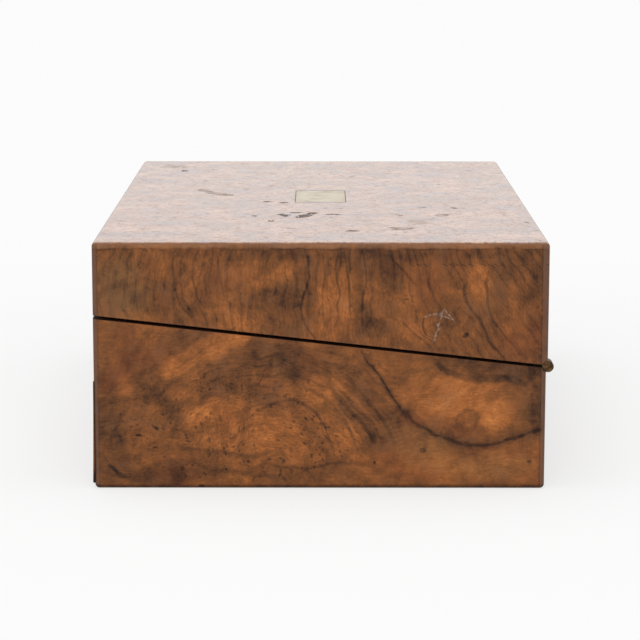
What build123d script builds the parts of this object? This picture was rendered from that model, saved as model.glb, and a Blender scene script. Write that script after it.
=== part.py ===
from build123d import *

import os
from math import atan2, cos, sin, tan

# Letter writing box with a side drawer, in millimetres.
# Origin: middle of the underside. +X runs along the box to its drawer end, -Y is the hinge side,
# +Y the lock side, +Z up. The case is cut along a sloping plane into a base and a lid.

# ---------------------------------------------------------------- driving dimensions
# Case
LENGTH = 406.0
WIDTH = 254.0
HEIGHT = 140.0
RIM_FRONT = 70.0  # height of the cut at the hinge side
RIM_REAR = 98.0  # height of the cut at the lock side
RIM_GAP = 1.6  # between the closed rims
LID_OVERHANG = 1.0  # the lid's front stands proud of the base's
EDGE_RADIUS = 2.5
BOARD = 8.8  # carcass walls
VENEER = 1.2
BOTTOM_BOARD = 8.0
TOP_BOARD = 8.0
FIT = 0.1  # let-in brass, each side

# Writing flaps
FLAP_BOARD = 7.0
LEATHER = 1.0
FLAP_MARGIN = 16.0  # wooden border round the leather
FLAP_CLEARANCE = 0.4
LEDGE = 7.0
LEDGE_DEPTH = 5.0
TAB_WIDTH = 15.0
TAB_LENGTH = 24.0
TAB_THICK = 0.6
TAB_ROUND = 5.0
TAB_OFFSET = 95.0  # from the middle, base tab to the right and lid tab to the left

# Drawer
DRAWER_HEIGHT = 31.0
GUIDE_WIDTH = 16.0
DRAWER_SIDE = 6.0
DRAWER_SIDE_HEIGHT = 28.0
DRAWER_BOTTOM = 3.0
DRAWER_GAP = 0.5  # round the drawer front
RUNNING_GAP = 0.2  # under the drawer sides
GROOVE_HEIGHT = 2.0  # from the sides' lower edge up to the bottom's groove
GROOVE_DEPTH = 3.0
DOVETAILS = 3
DOVETAIL_LAP = 3.0  # wood left in front of the tails
DOVETAIL_FLARE = 1.2
STOP_LENGTH = 26.0
STOP_WIDTH = 60.0
STOP_HEIGHT = 16.0
STOP_GAP = 0.25
DUST_BOARD = 4.0

# Pen section
PEN_SECTION = 54.0
DIVIDER = 6.0
INK_BAY = 46.0
PARTITION = 4.0
PARTITION_HEIGHT = 34.0
BEARER = 6.0
BEARER_HEIGHT = 20.0
TRAY_HEIGHT = 18.0
TRAY_CLEARANCE = 0.3
TROUGH_RADIUS = 11.0
TROUGH_RISE = 2.0  # the troughs' centre lines above the tray's top
TROUGH_END = 16.0  # solid wood at each end of a trough
TROUGH_RAMP = 45.0  # slope of its ends, in degrees
WELL_SIZE = 44.0
WELL_BODY = 29.0
WELL_WALL = 6.0
WELL_NECK_RADIUS = 12.0
WELL_NECK_HEIGHT = 6.0
WELL_BORE_RADIUS = 8.5
CAP_RADIUS = 14.0
CAP_SIDES = 24  # facets round its rim
CAP_HEIGHT = 11.0
CAP_BEVEL = 3.0
CAP_FIT = 0.2

# Hinges
KNUCKLE_RADIUS = 3.2
KNUCKLE_INSET = 0.8  # from the end face
KNUCKLE_LENGTH = 8.4
KNUCKLE_GAP = 0.1
BARRELS = 3
KNUCKLE_ROOM = 0.3
PIN_RADIUS = 1.2
PIN_FIT = 0.05
LEAF_INSET = 2.0
LEAF_WIDTH = 7.0
LEAF_LENGTH = 50.0
LEAF_THICK = 1.5
LEAF_CORNER = 1.75
LEAF_SCREWS = 3
SCREW_HEAD_RADIUS = 2.4
BORE_SIDES = 12  # facets of the small holes

# Lock
LOCK_WIDTH = 50.0
LOCK_DEPTH = 27.0
LOCK_THICK = 7.0
LOCK_WALL = 1.0
SELVEDGE_WIDTH = 60.0
SELVEDGE_THICK = 1.5
LUG_SPACING = 28.0
LUG_THICK = 2.4
LUG_WIDTH = 3.8
LUG_DROP = 7.6  # from the cut down to the middle of the eye
EYE_RADIUS = 1.1
LUG_ROOM = 0.5
BOLT_PEG_RADIUS = 0.85
BOLT_PEG_LENGTH = 4.2
BOLT_WIDTH = 2.4
BOLT_BAR_TOP = 10.4  # below the cut
BOLT_BAR_HEIGHT = 3.0
BOLT_POST = 2.0
BOLT_ROOM = 0.3
KEY_CHAMBER_RADIUS = 5.5
KEY_DROP = 19.0  # from the cut down to the keyhole
KEYHOLE_RADIUS = 2.2
KEYHOLE_SLOT_WIDTH = 2.0
KEYHOLE_SLOT_LENGTH = 6.0
KEYHOLE_TO_MID = 2.0  # from the round of the keyhole down to the middle of its plate
ESCUTCHEON_WIDTH = 15.0
ESCUTCHEON_HEIGHT = 24.0

# Name plate, pull and catch
PLATE_LENGTH = 57.0
PLATE_WIDTH = 31.0
PULL_LENGTH = 54.0
PULL_HEIGHT = 24.0
PULL_THICK = 1.5
PULL_CORNER = 3.0
CUP_LENGTH = 40.0
CUP_HEIGHT = 17.0
CUP_DEPTH = 7.0
CUP_WALL = 1.0
BAIL_RADIUS = 1.2
BAIL_SIDES = 8
BAIL_DROP = 11.0
BAIL_SETBACK = 2.2  # its axis behind the drawer's face
BAIL_SIDE_GAP = 0.6
BAIL_BEND = 3.0
BAIL_NECK_BEND = 1.6  # where its ends turn into their sockets
BAIL_PIVOT_FIT = 0.15
CATCH_X = 62.0
CATCH_LENGTH = 17.0
CATCH_WIDTH = 6.0
CATCH_THICK = 0.7
CATCH_GAP = 0.1
CATCH_STEM_RADIUS = 1.2
CATCH_STEM = 6.0
CATCH_FIT = 0.1

# ---------------------------------------------------------------- derived places
WALL = BOARD + VENEER
END = LENGTH / 2
CARCASS_END = END - VENEER
INNER_X = END - WALL
REAR = WIDTH / 2
INNER_REAR = REAR - WALL
LID_FRONT = -WIDTH / 2
LID_INNER_FRONT = LID_FRONT + WALL
BASE_FRONT = LID_FRONT + LID_OVERHANG
BASE_INNER_FRONT = BASE_FRONT + WALL

SLOPE = atan2(RIM_REAR - RIM_FRONT, WIDTH)
HALF_GAP = RIM_GAP / 2

# The cut passes through the hinge pins. Its local x is the box's X, its local y runs up the slope.
cut_plane = Plane(origin=(0, LID_FRONT, RIM_FRONT), x_dir=(1, 0, 0), z_dir=(0, -sin(SLOPE), cos(SLOPE)))
base_rim = cut_plane.offset(-HALF_GAP)
lid_rim = cut_plane.offset(HALF_GAP)


def hinge_section(x):
    """Section plane across the hinge line: local x up the slope, local y square to it, facing +X."""
    return Plane(origin=(x, LID_FRONT, RIM_FRONT), x_dir=(0, cos(SLOPE), sin(SLOPE)), z_dir=(1, 0, 0))


def up_slope(y, above_cut):
    """Distance up the slope of a vertical wall at y, measured at a height square to the cut."""
    return (y - LID_FRONT + above_cut * sin(SLOPE)) / cos(SLOPE)


def cut_height(y, above_cut=0.0):
    """Height over a point at y of the plane that lies above_cut from the cut."""
    return RIM_FRONT + (y - LID_FRONT) * tan(SLOPE) + above_cut / cos(SLOPE)


def rectangle_between(x0, x1, y0, y1, mode=Mode.ADD):
    """A rectangle given by its sides, in the sketch that is open."""
    with Locations(((x0 + x1) / 2, (y0 + y1) / 2)):
        Rectangle(x1 - x0, y1 - y0, mode=mode)


def finish(piece, name):
    """Name a finished piece and write it."""
    piece.part.label = name
    export_step(piece.part, f"parts/{name}.step")


os.makedirs("parts", exist_ok=True)

DRAWER_ZONE_TOP = BOTTOM_BOARD + DRAWER_HEIGHT + 2 * DRAWER_GAP
DUST_TOP = DRAWER_ZONE_TOP + DUST_BOARD
DRAWER_MID = (BASE_INNER_FRONT + INNER_REAR) / 2
DRAWER_LEFT = BASE_INNER_FRONT + GUIDE_WIDTH + DRAWER_GAP
DRAWER_RIGHT = INNER_REAR - GUIDE_WIDTH - DRAWER_GAP
DRAWER_BACK_X = STOP_LENGTH - INNER_X
PEN_FRONT = INNER_REAR - PEN_SECTION
DIVIDER_FRONT = PEN_FRONT - DIVIDER
FLAP_FRONT = FLAP_CLEARANCE + max(
    up_slope(BASE_INNER_FRONT, -HALF_GAP),
    up_slope(LID_INNER_FRONT, HALF_GAP + FLAP_BOARD),
)
BASE_FLAP_REAR = up_slope(DIVIDER_FRONT, -HALF_GAP - FLAP_BOARD) - FLAP_CLEARANCE
LID_FLAP_REAR = up_slope(INNER_REAR, HALF_GAP) - FLAP_CLEARANCE
FLAP_END = INNER_X - FLAP_CLEARANCE

# ---------------------------------------------------------------- outer forms
# Every outer piece is trimmed to one of these, so that the rounded edges run through the veneer.


def rounded_case(front):
    with BuildPart() as case:
        with BuildSketch():
            rectangle_between(-END, END, front, REAR)
        extrude(amount=HEIGHT)
        fillet(case.edges(), EDGE_RADIUS)
    return case


base_case = rounded_case(BASE_FRONT)
with BuildPart() as base_form:
    add(base_case.part)
    split(bisect_by=base_rim, keep=Keep.BOTTOM)

lid_case = rounded_case(LID_FRONT)
with BuildPart() as lid_form:
    add(lid_case.part)
    split(bisect_by=lid_rim, keep=Keep.TOP)

# ---------------------------------------------------------------- room for the fittings
LEAF_OUTER = END - LEAF_INSET
LEAF_INNER = LEAF_OUTER - LEAF_WIDTH
KNUCKLE_OUTER = END - KNUCKLE_INSET
KNUCKLE_INNER = KNUCKLE_OUTER - KNUCKLE_LENGTH
LEAF_ROOT = KNUCKLE_RADIUS + KNUCKLE_ROOM

with BuildPart() as hinge_room:
    # Notch for the knuckles, right through the end
    with BuildSketch(hinge_section(KNUCKLE_INNER - FIT)):
        Circle(KNUCKLE_RADIUS + KNUCKLE_ROOM)
    extrude(amount=END - KNUCKLE_INNER + FIT)
    # Recesses for the leaves, in both rims
    with BuildSketch(hinge_section(LEAF_INNER - FIT)):
        rectangle_between(0, LEAF_LENGTH + FIT, -HALF_GAP - LEAF_THICK, HALF_GAP + LEAF_THICK)
    extrude(amount=LEAF_WIDTH + 2 * FIT)
    mirror(about=Plane.YZ)

LOCK_FRONT = INNER_REAR
LOCK_REAR = INNER_REAR + LOCK_THICK
LUG_SLOPE = up_slope((LOCK_FRONT + LOCK_REAR) / 2 - LOCK_WALL / 2, 0)

with BuildPart() as selvedge:
    with BuildSketch():
        rectangle_between(-SELVEDGE_WIDTH / 2, SELVEDGE_WIDTH / 2, LOCK_FRONT, INNER_REAR + BOARD)
    extrude(amount=HEIGHT)
    split(bisect_by=base_rim, keep=Keep.BOTTOM)
    split(bisect_by=base_rim.offset(-SELVEDGE_THICK), keep=Keep.TOP)

with BuildPart() as lock_room:
    with BuildSketch(Plane.XY.offset(cut_height(LOCK_FRONT) - LOCK_DEPTH)):
        rectangle_between(-LOCK_WIDTH / 2, LOCK_WIDTH / 2, LOCK_FRONT, LOCK_REAR)
    extrude(amount=HEIGHT)
    split(bisect_by=base_rim, keep=Keep.BOTTOM)
    add(selvedge.part)

KEYHOLE_Z = cut_height(LOCK_REAR) - KEY_DROP


def keyhole_sketch(z):
    """Keyhole outline in an open sketch on a plane whose local y is up, centred on height z."""
    with Locations((0, z)):
        Circle(KEYHOLE_RADIUS)
    rectangle_between(-KEYHOLE_SLOT_WIDTH / 2, KEYHOLE_SLOT_WIDTH / 2, z - KEYHOLE_SLOT_LENGTH, z)


with BuildPart() as keyhole:
    with BuildSketch(Plane.XZ.offset(-REAR)):
        keyhole_sketch(KEYHOLE_Z)
    extrude(amount=REAR - LOCK_REAR + LOCK_WALL)

ESCUTCHEON_MID = KEYHOLE_Z - KEYHOLE_TO_MID
with BuildPart() as escutcheon_room:
    with BuildSketch(Plane.XZ.offset(-REAR)):
        with Locations((0, ESCUTCHEON_MID)):
            Ellipse(ESCUTCHEON_WIDTH / 2, ESCUTCHEON_HEIGHT / 2)
    extrude(amount=VENEER)

# ---------------------------------------------------------------- base carcass
with BuildPart() as base_bottom:
    with BuildSketch():
        rectangle_between(-INNER_X, INNER_X, BASE_INNER_FRONT, INNER_REAR)
    extrude(amount=BOTTOM_BOARD)
finish(base_bottom, "base_bottom")

with BuildPart() as base_front_wall:
    with BuildSketch():
        rectangle_between(-INNER_X, INNER_X, BASE_FRONT + VENEER, BASE_INNER_FRONT)
    extrude(amount=HEIGHT)
    split(bisect_by=base_rim.offset(-LEATHER), keep=Keep.BOTTOM)
    add(base_form.part, mode=Mode.INTERSECT)
finish(base_front_wall, "base_front_wall")

with BuildPart() as base_rear_wall:
    with BuildSketch():
        rectangle_between(-INNER_X, INNER_X, INNER_REAR, REAR - VENEER)
    extrude(amount=HEIGHT)
    add(base_form.part, mode=Mode.INTERSECT)
    add(lock_room.part, mode=Mode.SUBTRACT)
    add(keyhole.part, mode=Mode.SUBTRACT)
finish(base_rear_wall, "base_rear_wall")

with BuildPart() as drawer_way:
    with BuildSketch(Plane.YZ.offset(INNER_X)):
        rectangle_between(
            BASE_INNER_FRONT + GUIDE_WIDTH, INNER_REAR - GUIDE_WIDTH, BOTTOM_BOARD, DRAWER_ZONE_TOP
        )
    extrude(amount=WALL)

with BuildPart() as base_left_end:
    with BuildSketch():
        rectangle_between(-CARCASS_END, -INNER_X, BASE_FRONT + VENEER, REAR - VENEER)
    extrude(amount=HEIGHT)
    add(base_form.part, mode=Mode.INTERSECT)
    add(hinge_room.part, mode=Mode.SUBTRACT)
finish(base_left_end, "base_left_end")

with BuildPart() as base_right_end:
    mirror(base_left_end.part, about=Plane.YZ)
    add(drawer_way.part, mode=Mode.SUBTRACT)
finish(base_right_end, "base_right_end")

# ---------------------------------------------------------------- base veneer
with BuildPart() as base_front_veneer:
    with BuildSketch():
        rectangle_between(-CARCASS_END, CARCASS_END, BASE_FRONT, BASE_FRONT + VENEER)
    extrude(amount=HEIGHT)
    add(base_form.part, mode=Mode.INTERSECT)
    add(hinge_room.part, mode=Mode.SUBTRACT)
finish(base_front_veneer, "base_front_veneer")

with BuildPart() as base_rear_veneer:
    with BuildSketch():
        rectangle_between(-CARCASS_END, CARCASS_END, REAR - VENEER, REAR)
    extrude(amount=HEIGHT)
    add(base_form.part, mode=Mode.INTERSECT)
    add(escutcheon_room.part, mode=Mode.SUBTRACT)
finish(base_rear_veneer, "base_rear_veneer")

with BuildPart() as base_left_veneer:
    with BuildSketch():
        rectangle_between(-END, -CARCASS_END, BASE_FRONT, REAR)
    extrude(amount=HEIGHT)
    add(base_form.part, mode=Mode.INTERSECT)
    add(hinge_room.part, mode=Mode.SUBTRACT)
finish(base_left_veneer, "base_left_veneer")

with BuildPart() as base_right_veneer:
    mirror(base_left_veneer.part, about=Plane.YZ)
    add(drawer_way.part, mode=Mode.SUBTRACT)
finish(base_right_veneer, "base_right_veneer")

# ---------------------------------------------------------------- base inside
with BuildPart() as drawer_guides:
    with BuildSketch(Plane.XY.offset(BOTTOM_BOARD)):
        rectangle_between(-INNER_X, INNER_X, BASE_INNER_FRONT, BASE_INNER_FRONT + GUIDE_WIDTH)
        rectangle_between(-INNER_X, INNER_X, INNER_REAR - GUIDE_WIDTH, INNER_REAR)
    extrude(amount=DRAWER_ZONE_TOP - BOTTOM_BOARD)
finish(drawer_guides, "drawer_guides")

with BuildPart() as drawer_stop:
    with BuildSketch(Plane.XY.offset(BOTTOM_BOARD)):
        rectangle_between(
            -INNER_X,
            DRAWER_BACK_X - STOP_GAP,
            DRAWER_MID - STOP_WIDTH / 2,
            DRAWER_MID + STOP_WIDTH / 2,
        )
    extrude(amount=STOP_HEIGHT)
finish(drawer_stop, "drawer_stop")

with BuildPart() as dust_board:
    with BuildSketch(Plane.XY.offset(DRAWER_ZONE_TOP)):
        rectangle_between(-INNER_X, INNER_X, BASE_INNER_FRONT, INNER_REAR)
    extrude(amount=DUST_BOARD)
finish(dust_board, "dust_board")

with BuildPart() as pen_section_divider:
    with BuildSketch(Plane.XY.offset(DUST_TOP)):
        rectangle_between(-INNER_X, INNER_X, DIVIDER_FRONT, PEN_FRONT)
    extrude(amount=HEIGHT)
    split(bisect_by=base_rim, keep=Keep.BOTTOM)
finish(pen_section_divider, "pen_section_divider")

with BuildPart() as base_flap_ledges:
    with BuildSketch():
        rectangle_between(-INNER_X, INNER_X, BASE_INNER_FRONT, DIVIDER_FRONT)
        rectangle_between(
            -INNER_X + LEDGE,
            INNER_X - LEDGE,
            BASE_INNER_FRONT,
            DIVIDER_FRONT - LEDGE,
            mode=Mode.SUBTRACT,
        )
    extrude(amount=HEIGHT)
    split(bisect_by=base_rim.offset(-FLAP_BOARD), keep=Keep.BOTTOM)
    split(bisect_by=base_rim.offset(-FLAP_BOARD - LEDGE_DEPTH), keep=Keep.TOP)
finish(base_flap_ledges, "base_flap_ledges")

with BuildPart() as ink_partitions:
    partition_x = INNER_X - INK_BAY
    with BuildSketch(Plane.XY.offset(DUST_TOP)):
        rectangle_between(partition_x - PARTITION, partition_x, PEN_FRONT, INNER_REAR)
    extrude(amount=PARTITION_HEIGHT)
    with BuildSketch(Plane.XY.offset(DUST_TOP)):
        rectangle_between(
            partition_x - PARTITION - BEARER, partition_x - PARTITION, PEN_FRONT, INNER_REAR
        )
    extrude(amount=BEARER_HEIGHT)
    mirror(about=Plane.YZ)
finish(ink_partitions, "ink_partitions")

TRAY_END = INNER_X - INK_BAY - PARTITION - TRAY_CLEARANCE
TRAY_TOP = DUST_TOP + BEARER_HEIGHT + TRAY_HEIGHT
TROUGH_HALF = TRAY_END - TROUGH_END
PEN_MID = (PEN_FRONT + INNER_REAR) / 2

with BuildPart() as trough:
    with BuildSketch(Plane.YZ.offset(-TROUGH_HALF)):
        with Locations((0, TRAY_TOP + TROUGH_RISE)):
            Circle(TROUGH_RADIUS)
    extrude(amount=2 * TROUGH_HALF)
    for ramp_turn, ramp_x in ((TROUGH_RAMP, TROUGH_HALF), (-TROUGH_RAMP, -TROUGH_HALF)):
        ramp = Plane(origin=(ramp_x, 0, TRAY_TOP), z_dir=(0, 0, 1)).rotated((0, -ramp_turn, 0))
        split(bisect_by=ramp, keep=Keep.TOP)

with BuildPart() as pen_tray:
    with BuildSketch(Plane.XY.offset(DUST_TOP + BEARER_HEIGHT)):
        rectangle_between(
            -TRAY_END, TRAY_END, PEN_FRONT + TRAY_CLEARANCE, INNER_REAR - TRAY_CLEARANCE
        )
    extrude(amount=TRAY_HEIGHT)
    with Locations((0, PEN_MID - PEN_SECTION / 4), (0, PEN_MID + PEN_SECTION / 4)):
        add(trough.part, mode=Mode.SUBTRACT)
finish(pen_tray, "pen_tray")

# ---------------------------------------------------------------- inkwells
WELL_X = INNER_X - INK_BAY / 2
WELL_SHOULDER = DUST_TOP + WELL_BODY
WELL_MOUTH = WELL_SHOULDER + WELL_NECK_HEIGHT

for side, well_x in (("left", -WELL_X), ("right", WELL_X)):
    with BuildPart() as inkwell:
        with BuildSketch(Plane.XY.offset(DUST_TOP)) as footprint:
            with Locations((well_x, PEN_MID)):
                Rectangle(WELL_SIZE, WELL_SIZE)
            chamfer(footprint.vertices(), WELL_WALL / 2)
        extrude(amount=WELL_BODY)
        chamfer(inkwell.faces().sort_by(Axis.Z)[-1].edges(), WELL_WALL / 2)
        with BuildSketch(Plane.XY.offset(WELL_SHOULDER)):
            with Locations((well_x, PEN_MID)):
                Circle(WELL_NECK_RADIUS)
        extrude(amount=WELL_NECK_HEIGHT)
        with BuildSketch(Plane.XY.offset(WELL_MOUTH)):
            with Locations((well_x, PEN_MID)):
                Circle(WELL_BORE_RADIUS)
        extrude(amount=WELL_WALL - WELL_BODY - WELL_NECK_HEIGHT, mode=Mode.SUBTRACT)
    finish(inkwell, f"{side}_inkwell")

    with BuildPart() as inkwell_cap:
        with BuildSketch(Plane.XY.offset(WELL_SHOULDER)):
            with Locations((well_x, PEN_MID)):
                RegularPolygon(CAP_RADIUS, CAP_SIDES)
        extrude(amount=CAP_HEIGHT)
        chamfer(inkwell_cap.faces().sort_by(Axis.Z)[-1].edges(), CAP_BEVEL)
        with BuildSketch(Plane.XY.offset(WELL_SHOULDER)):
            with Locations((well_x, PEN_MID)):
                Circle(WELL_NECK_RADIUS + CAP_FIT)
        extrude(amount=WELL_NECK_HEIGHT, mode=Mode.SUBTRACT)
    finish(inkwell_cap, f"{side}_inkwell_cap")

# ---------------------------------------------------------------- lock
CAVITY_FRONT = LOCK_FRONT + LOCK_WALL
CAVITY_REAR = LOCK_REAR - LOCK_WALL
CAVITY_END = LOCK_WIDTH / 2 - 2 * LOCK_WALL
BOLT_FLOOR = BOLT_BAR_TOP + BOLT_BAR_HEIGHT + BOLT_ROOM

with BuildPart() as bolt_cavity:
    with BuildSketch():
        rectangle_between(-CAVITY_END, CAVITY_END, CAVITY_FRONT, CAVITY_REAR)
    extrude(amount=HEIGHT)
    split(bisect_by=base_rim.offset(-SELVEDGE_THICK), keep=Keep.BOTTOM)
    split(bisect_by=cut_plane.offset(-BOLT_FLOOR), keep=Keep.TOP)

with BuildPart() as lock_case:
    add(lock_room.part)
    add(bolt_cavity.part, mode=Mode.SUBTRACT)
    # Chamber in which the key turns, open to the bolt above it
    with BuildSketch(Plane.XZ.offset(-CAVITY_REAR)):
        with Locations((0, KEYHOLE_Z)):
            Circle(KEY_CHAMBER_RADIUS)
    extrude(amount=CAVITY_REAR - CAVITY_FRONT, mode=Mode.SUBTRACT)
    add(keyhole.part, mode=Mode.SUBTRACT)
    # Slots for the lugs
    with BuildSketch(base_rim):
        with Locations((-LUG_SPACING / 2, LUG_SLOPE), (LUG_SPACING / 2, LUG_SLOPE)):
            Rectangle(LUG_THICK + 2 * LUG_ROOM, LUG_WIDTH + 2 * LUG_ROOM)
    extrude(amount=-SELVEDGE_THICK, mode=Mode.SUBTRACT)
finish(lock_case, "lock_case")

PEG_START = LUG_THICK / 2 + LUG_ROOM  # rest distance of a peg's tip from the middle of its lug
POST_INNER = PEG_START + BOLT_PEG_LENGTH
POST_OUTER = POST_INNER + BOLT_POST

with BuildPart() as lock_bolt:
    for lug_x in (-LUG_SPACING / 2, LUG_SPACING / 2):
        with BuildSketch(hinge_section(lug_x - POST_OUTER)):
            rectangle_between(
                LUG_SLOPE - BOLT_WIDTH / 2,
                LUG_SLOPE + BOLT_WIDTH / 2,
                -BOLT_BAR_TOP - BOLT_BAR_HEIGHT,
                2 * BOLT_PEG_RADIUS - LUG_DROP,
            )
        extrude(amount=BOLT_POST)
        with BuildSketch(hinge_section(lug_x - POST_INNER)):
            with Locations((LUG_SLOPE, -LUG_DROP)):
                Circle(BOLT_PEG_RADIUS)
        extrude(amount=BOLT_PEG_LENGTH)
    with BuildSketch(hinge_section(-LUG_SPACING / 2 - POST_OUTER)):
        with Locations((LUG_SLOPE, -BOLT_BAR_TOP - BOLT_BAR_HEIGHT / 2)):
            Rectangle(BOLT_WIDTH, BOLT_BAR_HEIGHT)
    extrude(amount=LUG_SPACING + BOLT_POST)
finish(lock_bolt, "lock_bolt")

with BuildPart() as link_plate_room:
    with BuildSketch():
        rectangle_between(-SELVEDGE_WIDTH / 2, SELVEDGE_WIDTH / 2, INNER_REAR, INNER_REAR + BOARD)
    extrude(amount=HEIGHT)
    split(bisect_by=lid_rim, keep=Keep.TOP)
    split(bisect_by=lid_rim.offset(SELVEDGE_THICK), keep=Keep.BOTTOM)

with BuildPart() as lock_link_plate:
    add(link_plate_room.part)
    for lug_x in (-LUG_SPACING / 2, LUG_SPACING / 2):
        with BuildSketch(hinge_section(lug_x - LUG_THICK / 2)):
            with Locations((LUG_SLOPE, -LUG_DROP)):
                Circle(LUG_WIDTH / 2)
            rectangle_between(
                LUG_SLOPE - LUG_WIDTH / 2, LUG_SLOPE + LUG_WIDTH / 2, -LUG_DROP, HALF_GAP
            )
            with Locations((LUG_SLOPE, -LUG_DROP)):
                Circle(EYE_RADIUS, mode=Mode.SUBTRACT)
        extrude(amount=LUG_THICK)
finish(lock_link_plate, "lock_link_plate")

with BuildPart() as keyhole_escutcheon:
    add(escutcheon_room.part)
    add(keyhole.part, mode=Mode.SUBTRACT)
finish(keyhole_escutcheon, "keyhole_escutcheon")

# ---------------------------------------------------------------- lid carcass
with BuildPart() as name_plate:
    with BuildSketch(Plane.XY.offset(HEIGHT)):
        Rectangle(PLATE_LENGTH, PLATE_WIDTH)
    extrude(amount=-VENEER)
finish(name_plate, "name_plate")

LID_CEILING = HEIGHT - VENEER - TOP_BOARD

with BuildPart() as lid_top_board:
    with BuildSketch(Plane.XY.offset(LID_CEILING)):
        rectangle_between(-INNER_X, INNER_X, LID_INNER_FRONT, INNER_REAR)
    extrude(amount=TOP_BOARD)
finish(lid_top_board, "lid_top_board")

with BuildPart() as lid_front_wall:
    with BuildSketch():
        rectangle_between(-INNER_X, INNER_X, LID_FRONT + VENEER, LID_INNER_FRONT)
    extrude(amount=HEIGHT - VENEER)
    split(bisect_by=lid_rim.offset(LEATHER), keep=Keep.TOP)
    add(lid_form.part, mode=Mode.INTERSECT)
finish(lid_front_wall, "lid_front_wall")

with BuildPart() as catch_bore:
    with BuildSketch(lid_rim):
        with Locations((CATCH_X, up_slope(INNER_REAR + BOARD / 2, HALF_GAP))):
            Circle(CATCH_STEM_RADIUS + CATCH_FIT)
    extrude(amount=CATCH_STEM)

with BuildPart() as lid_rear_wall:
    with BuildSketch():
        rectangle_between(-INNER_X, INNER_X, INNER_REAR, REAR - VENEER)
    extrude(amount=HEIGHT - VENEER)
    add(lid_form.part, mode=Mode.INTERSECT)
    add(link_plate_room.part, mode=Mode.SUBTRACT)
    add(catch_bore.part, mode=Mode.SUBTRACT)
finish(lid_rear_wall, "lid_rear_wall")

with BuildPart() as lid_left_end:
    with BuildSketch():
        rectangle_between(-CARCASS_END, -INNER_X, LID_FRONT + VENEER, REAR - VENEER)
    extrude(amount=HEIGHT - VENEER)
    add(lid_form.part, mode=Mode.INTERSECT)
    add(hinge_room.part, mode=Mode.SUBTRACT)
finish(lid_left_end, "lid_left_end")

with BuildPart() as lid_right_end:
    mirror(lid_left_end.part, about=Plane.YZ)
finish(lid_right_end, "lid_right_end")

# ---------------------------------------------------------------- lid veneer
with BuildPart() as lid_top_veneer:
    with BuildSketch(Plane.XY.offset(HEIGHT - VENEER)):
        rectangle_between(-END, END, LID_FRONT, REAR)
    extrude(amount=VENEER)
    add(lid_form.part, mode=Mode.INTERSECT)
    add(name_plate.part, mode=Mode.SUBTRACT)
finish(lid_top_veneer, "lid_top_veneer")

with BuildPart() as lid_front_veneer:
    with BuildSketch():
        rectangle_between(-CARCASS_END, CARCASS_END, LID_FRONT, LID_FRONT + VENEER)
    extrude(amount=HEIGHT - VENEER)
    add(lid_form.part, mode=Mode.INTERSECT)
    add(hinge_room.part, mode=Mode.SUBTRACT)
finish(lid_front_veneer, "lid_front_veneer")

with BuildPart() as lid_rear_veneer:
    with BuildSketch():
        rectangle_between(-CARCASS_END, CARCASS_END, REAR - VENEER, REAR)
    extrude(amount=HEIGHT - VENEER)
    add(lid_form.part, mode=Mode.INTERSECT)
finish(lid_rear_veneer, "lid_rear_veneer")

with BuildPart() as lid_left_veneer:
    with BuildSketch():
        rectangle_between(-END, -CARCASS_END, LID_FRONT, REAR)
    extrude(amount=HEIGHT - VENEER)
    add(lid_form.part, mode=Mode.INTERSECT)
    add(hinge_room.part, mode=Mode.SUBTRACT)
finish(lid_left_veneer, "lid_left_veneer")

with BuildPart() as lid_right_veneer:
    mirror(lid_left_veneer.part, about=Plane.YZ)
finish(lid_right_veneer, "lid_right_veneer")

# ---------------------------------------------------------------- lid inside
with BuildPart() as lid_flap_ledges:
    with BuildSketch():
        rectangle_between(-INNER_X, INNER_X, LID_INNER_FRONT, INNER_REAR)
        rectangle_between(
            -INNER_X + LEDGE, INNER_X - LEDGE, LID_INNER_FRONT, INNER_REAR - LEDGE, mode=Mode.SUBTRACT
        )
    extrude(amount=HEIGHT)
    split(bisect_by=lid_rim.offset(FLAP_BOARD), keep=Keep.TOP)
    split(bisect_by=lid_rim.offset(FLAP_BOARD + LEDGE_DEPTH), keep=Keep.BOTTOM)
finish(lid_flap_ledges, "lid_flap_ledges")

# ---------------------------------------------------------------- fold leather
with BuildPart() as base_fold_strip:
    with BuildSketch():
        rectangle_between(-INNER_X, INNER_X, BASE_FRONT + VENEER, BASE_INNER_FRONT)
    extrude(amount=HEIGHT)
    split(bisect_by=base_rim, keep=Keep.BOTTOM)
    split(bisect_by=base_rim.offset(-LEATHER), keep=Keep.TOP)
finish(base_fold_strip, "base_fold_strip")

with BuildPart() as lid_fold_strip:
    with BuildSketch():
        rectangle_between(-INNER_X, INNER_X, LID_FRONT + VENEER, LID_INNER_FRONT)
    extrude(amount=HEIGHT)
    split(bisect_by=lid_rim, keep=Keep.TOP)
    split(bisect_by=lid_rim.offset(LEATHER), keep=Keep.BOTTOM)
finish(lid_fold_strip, "lid_fold_strip")

# ---------------------------------------------------------------- hinges
BARREL = (KNUCKLE_LENGTH - (BARRELS - 1) * KNUCKLE_GAP) / BARRELS
BARREL_PITCH = BARREL + KNUCKLE_GAP


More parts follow.
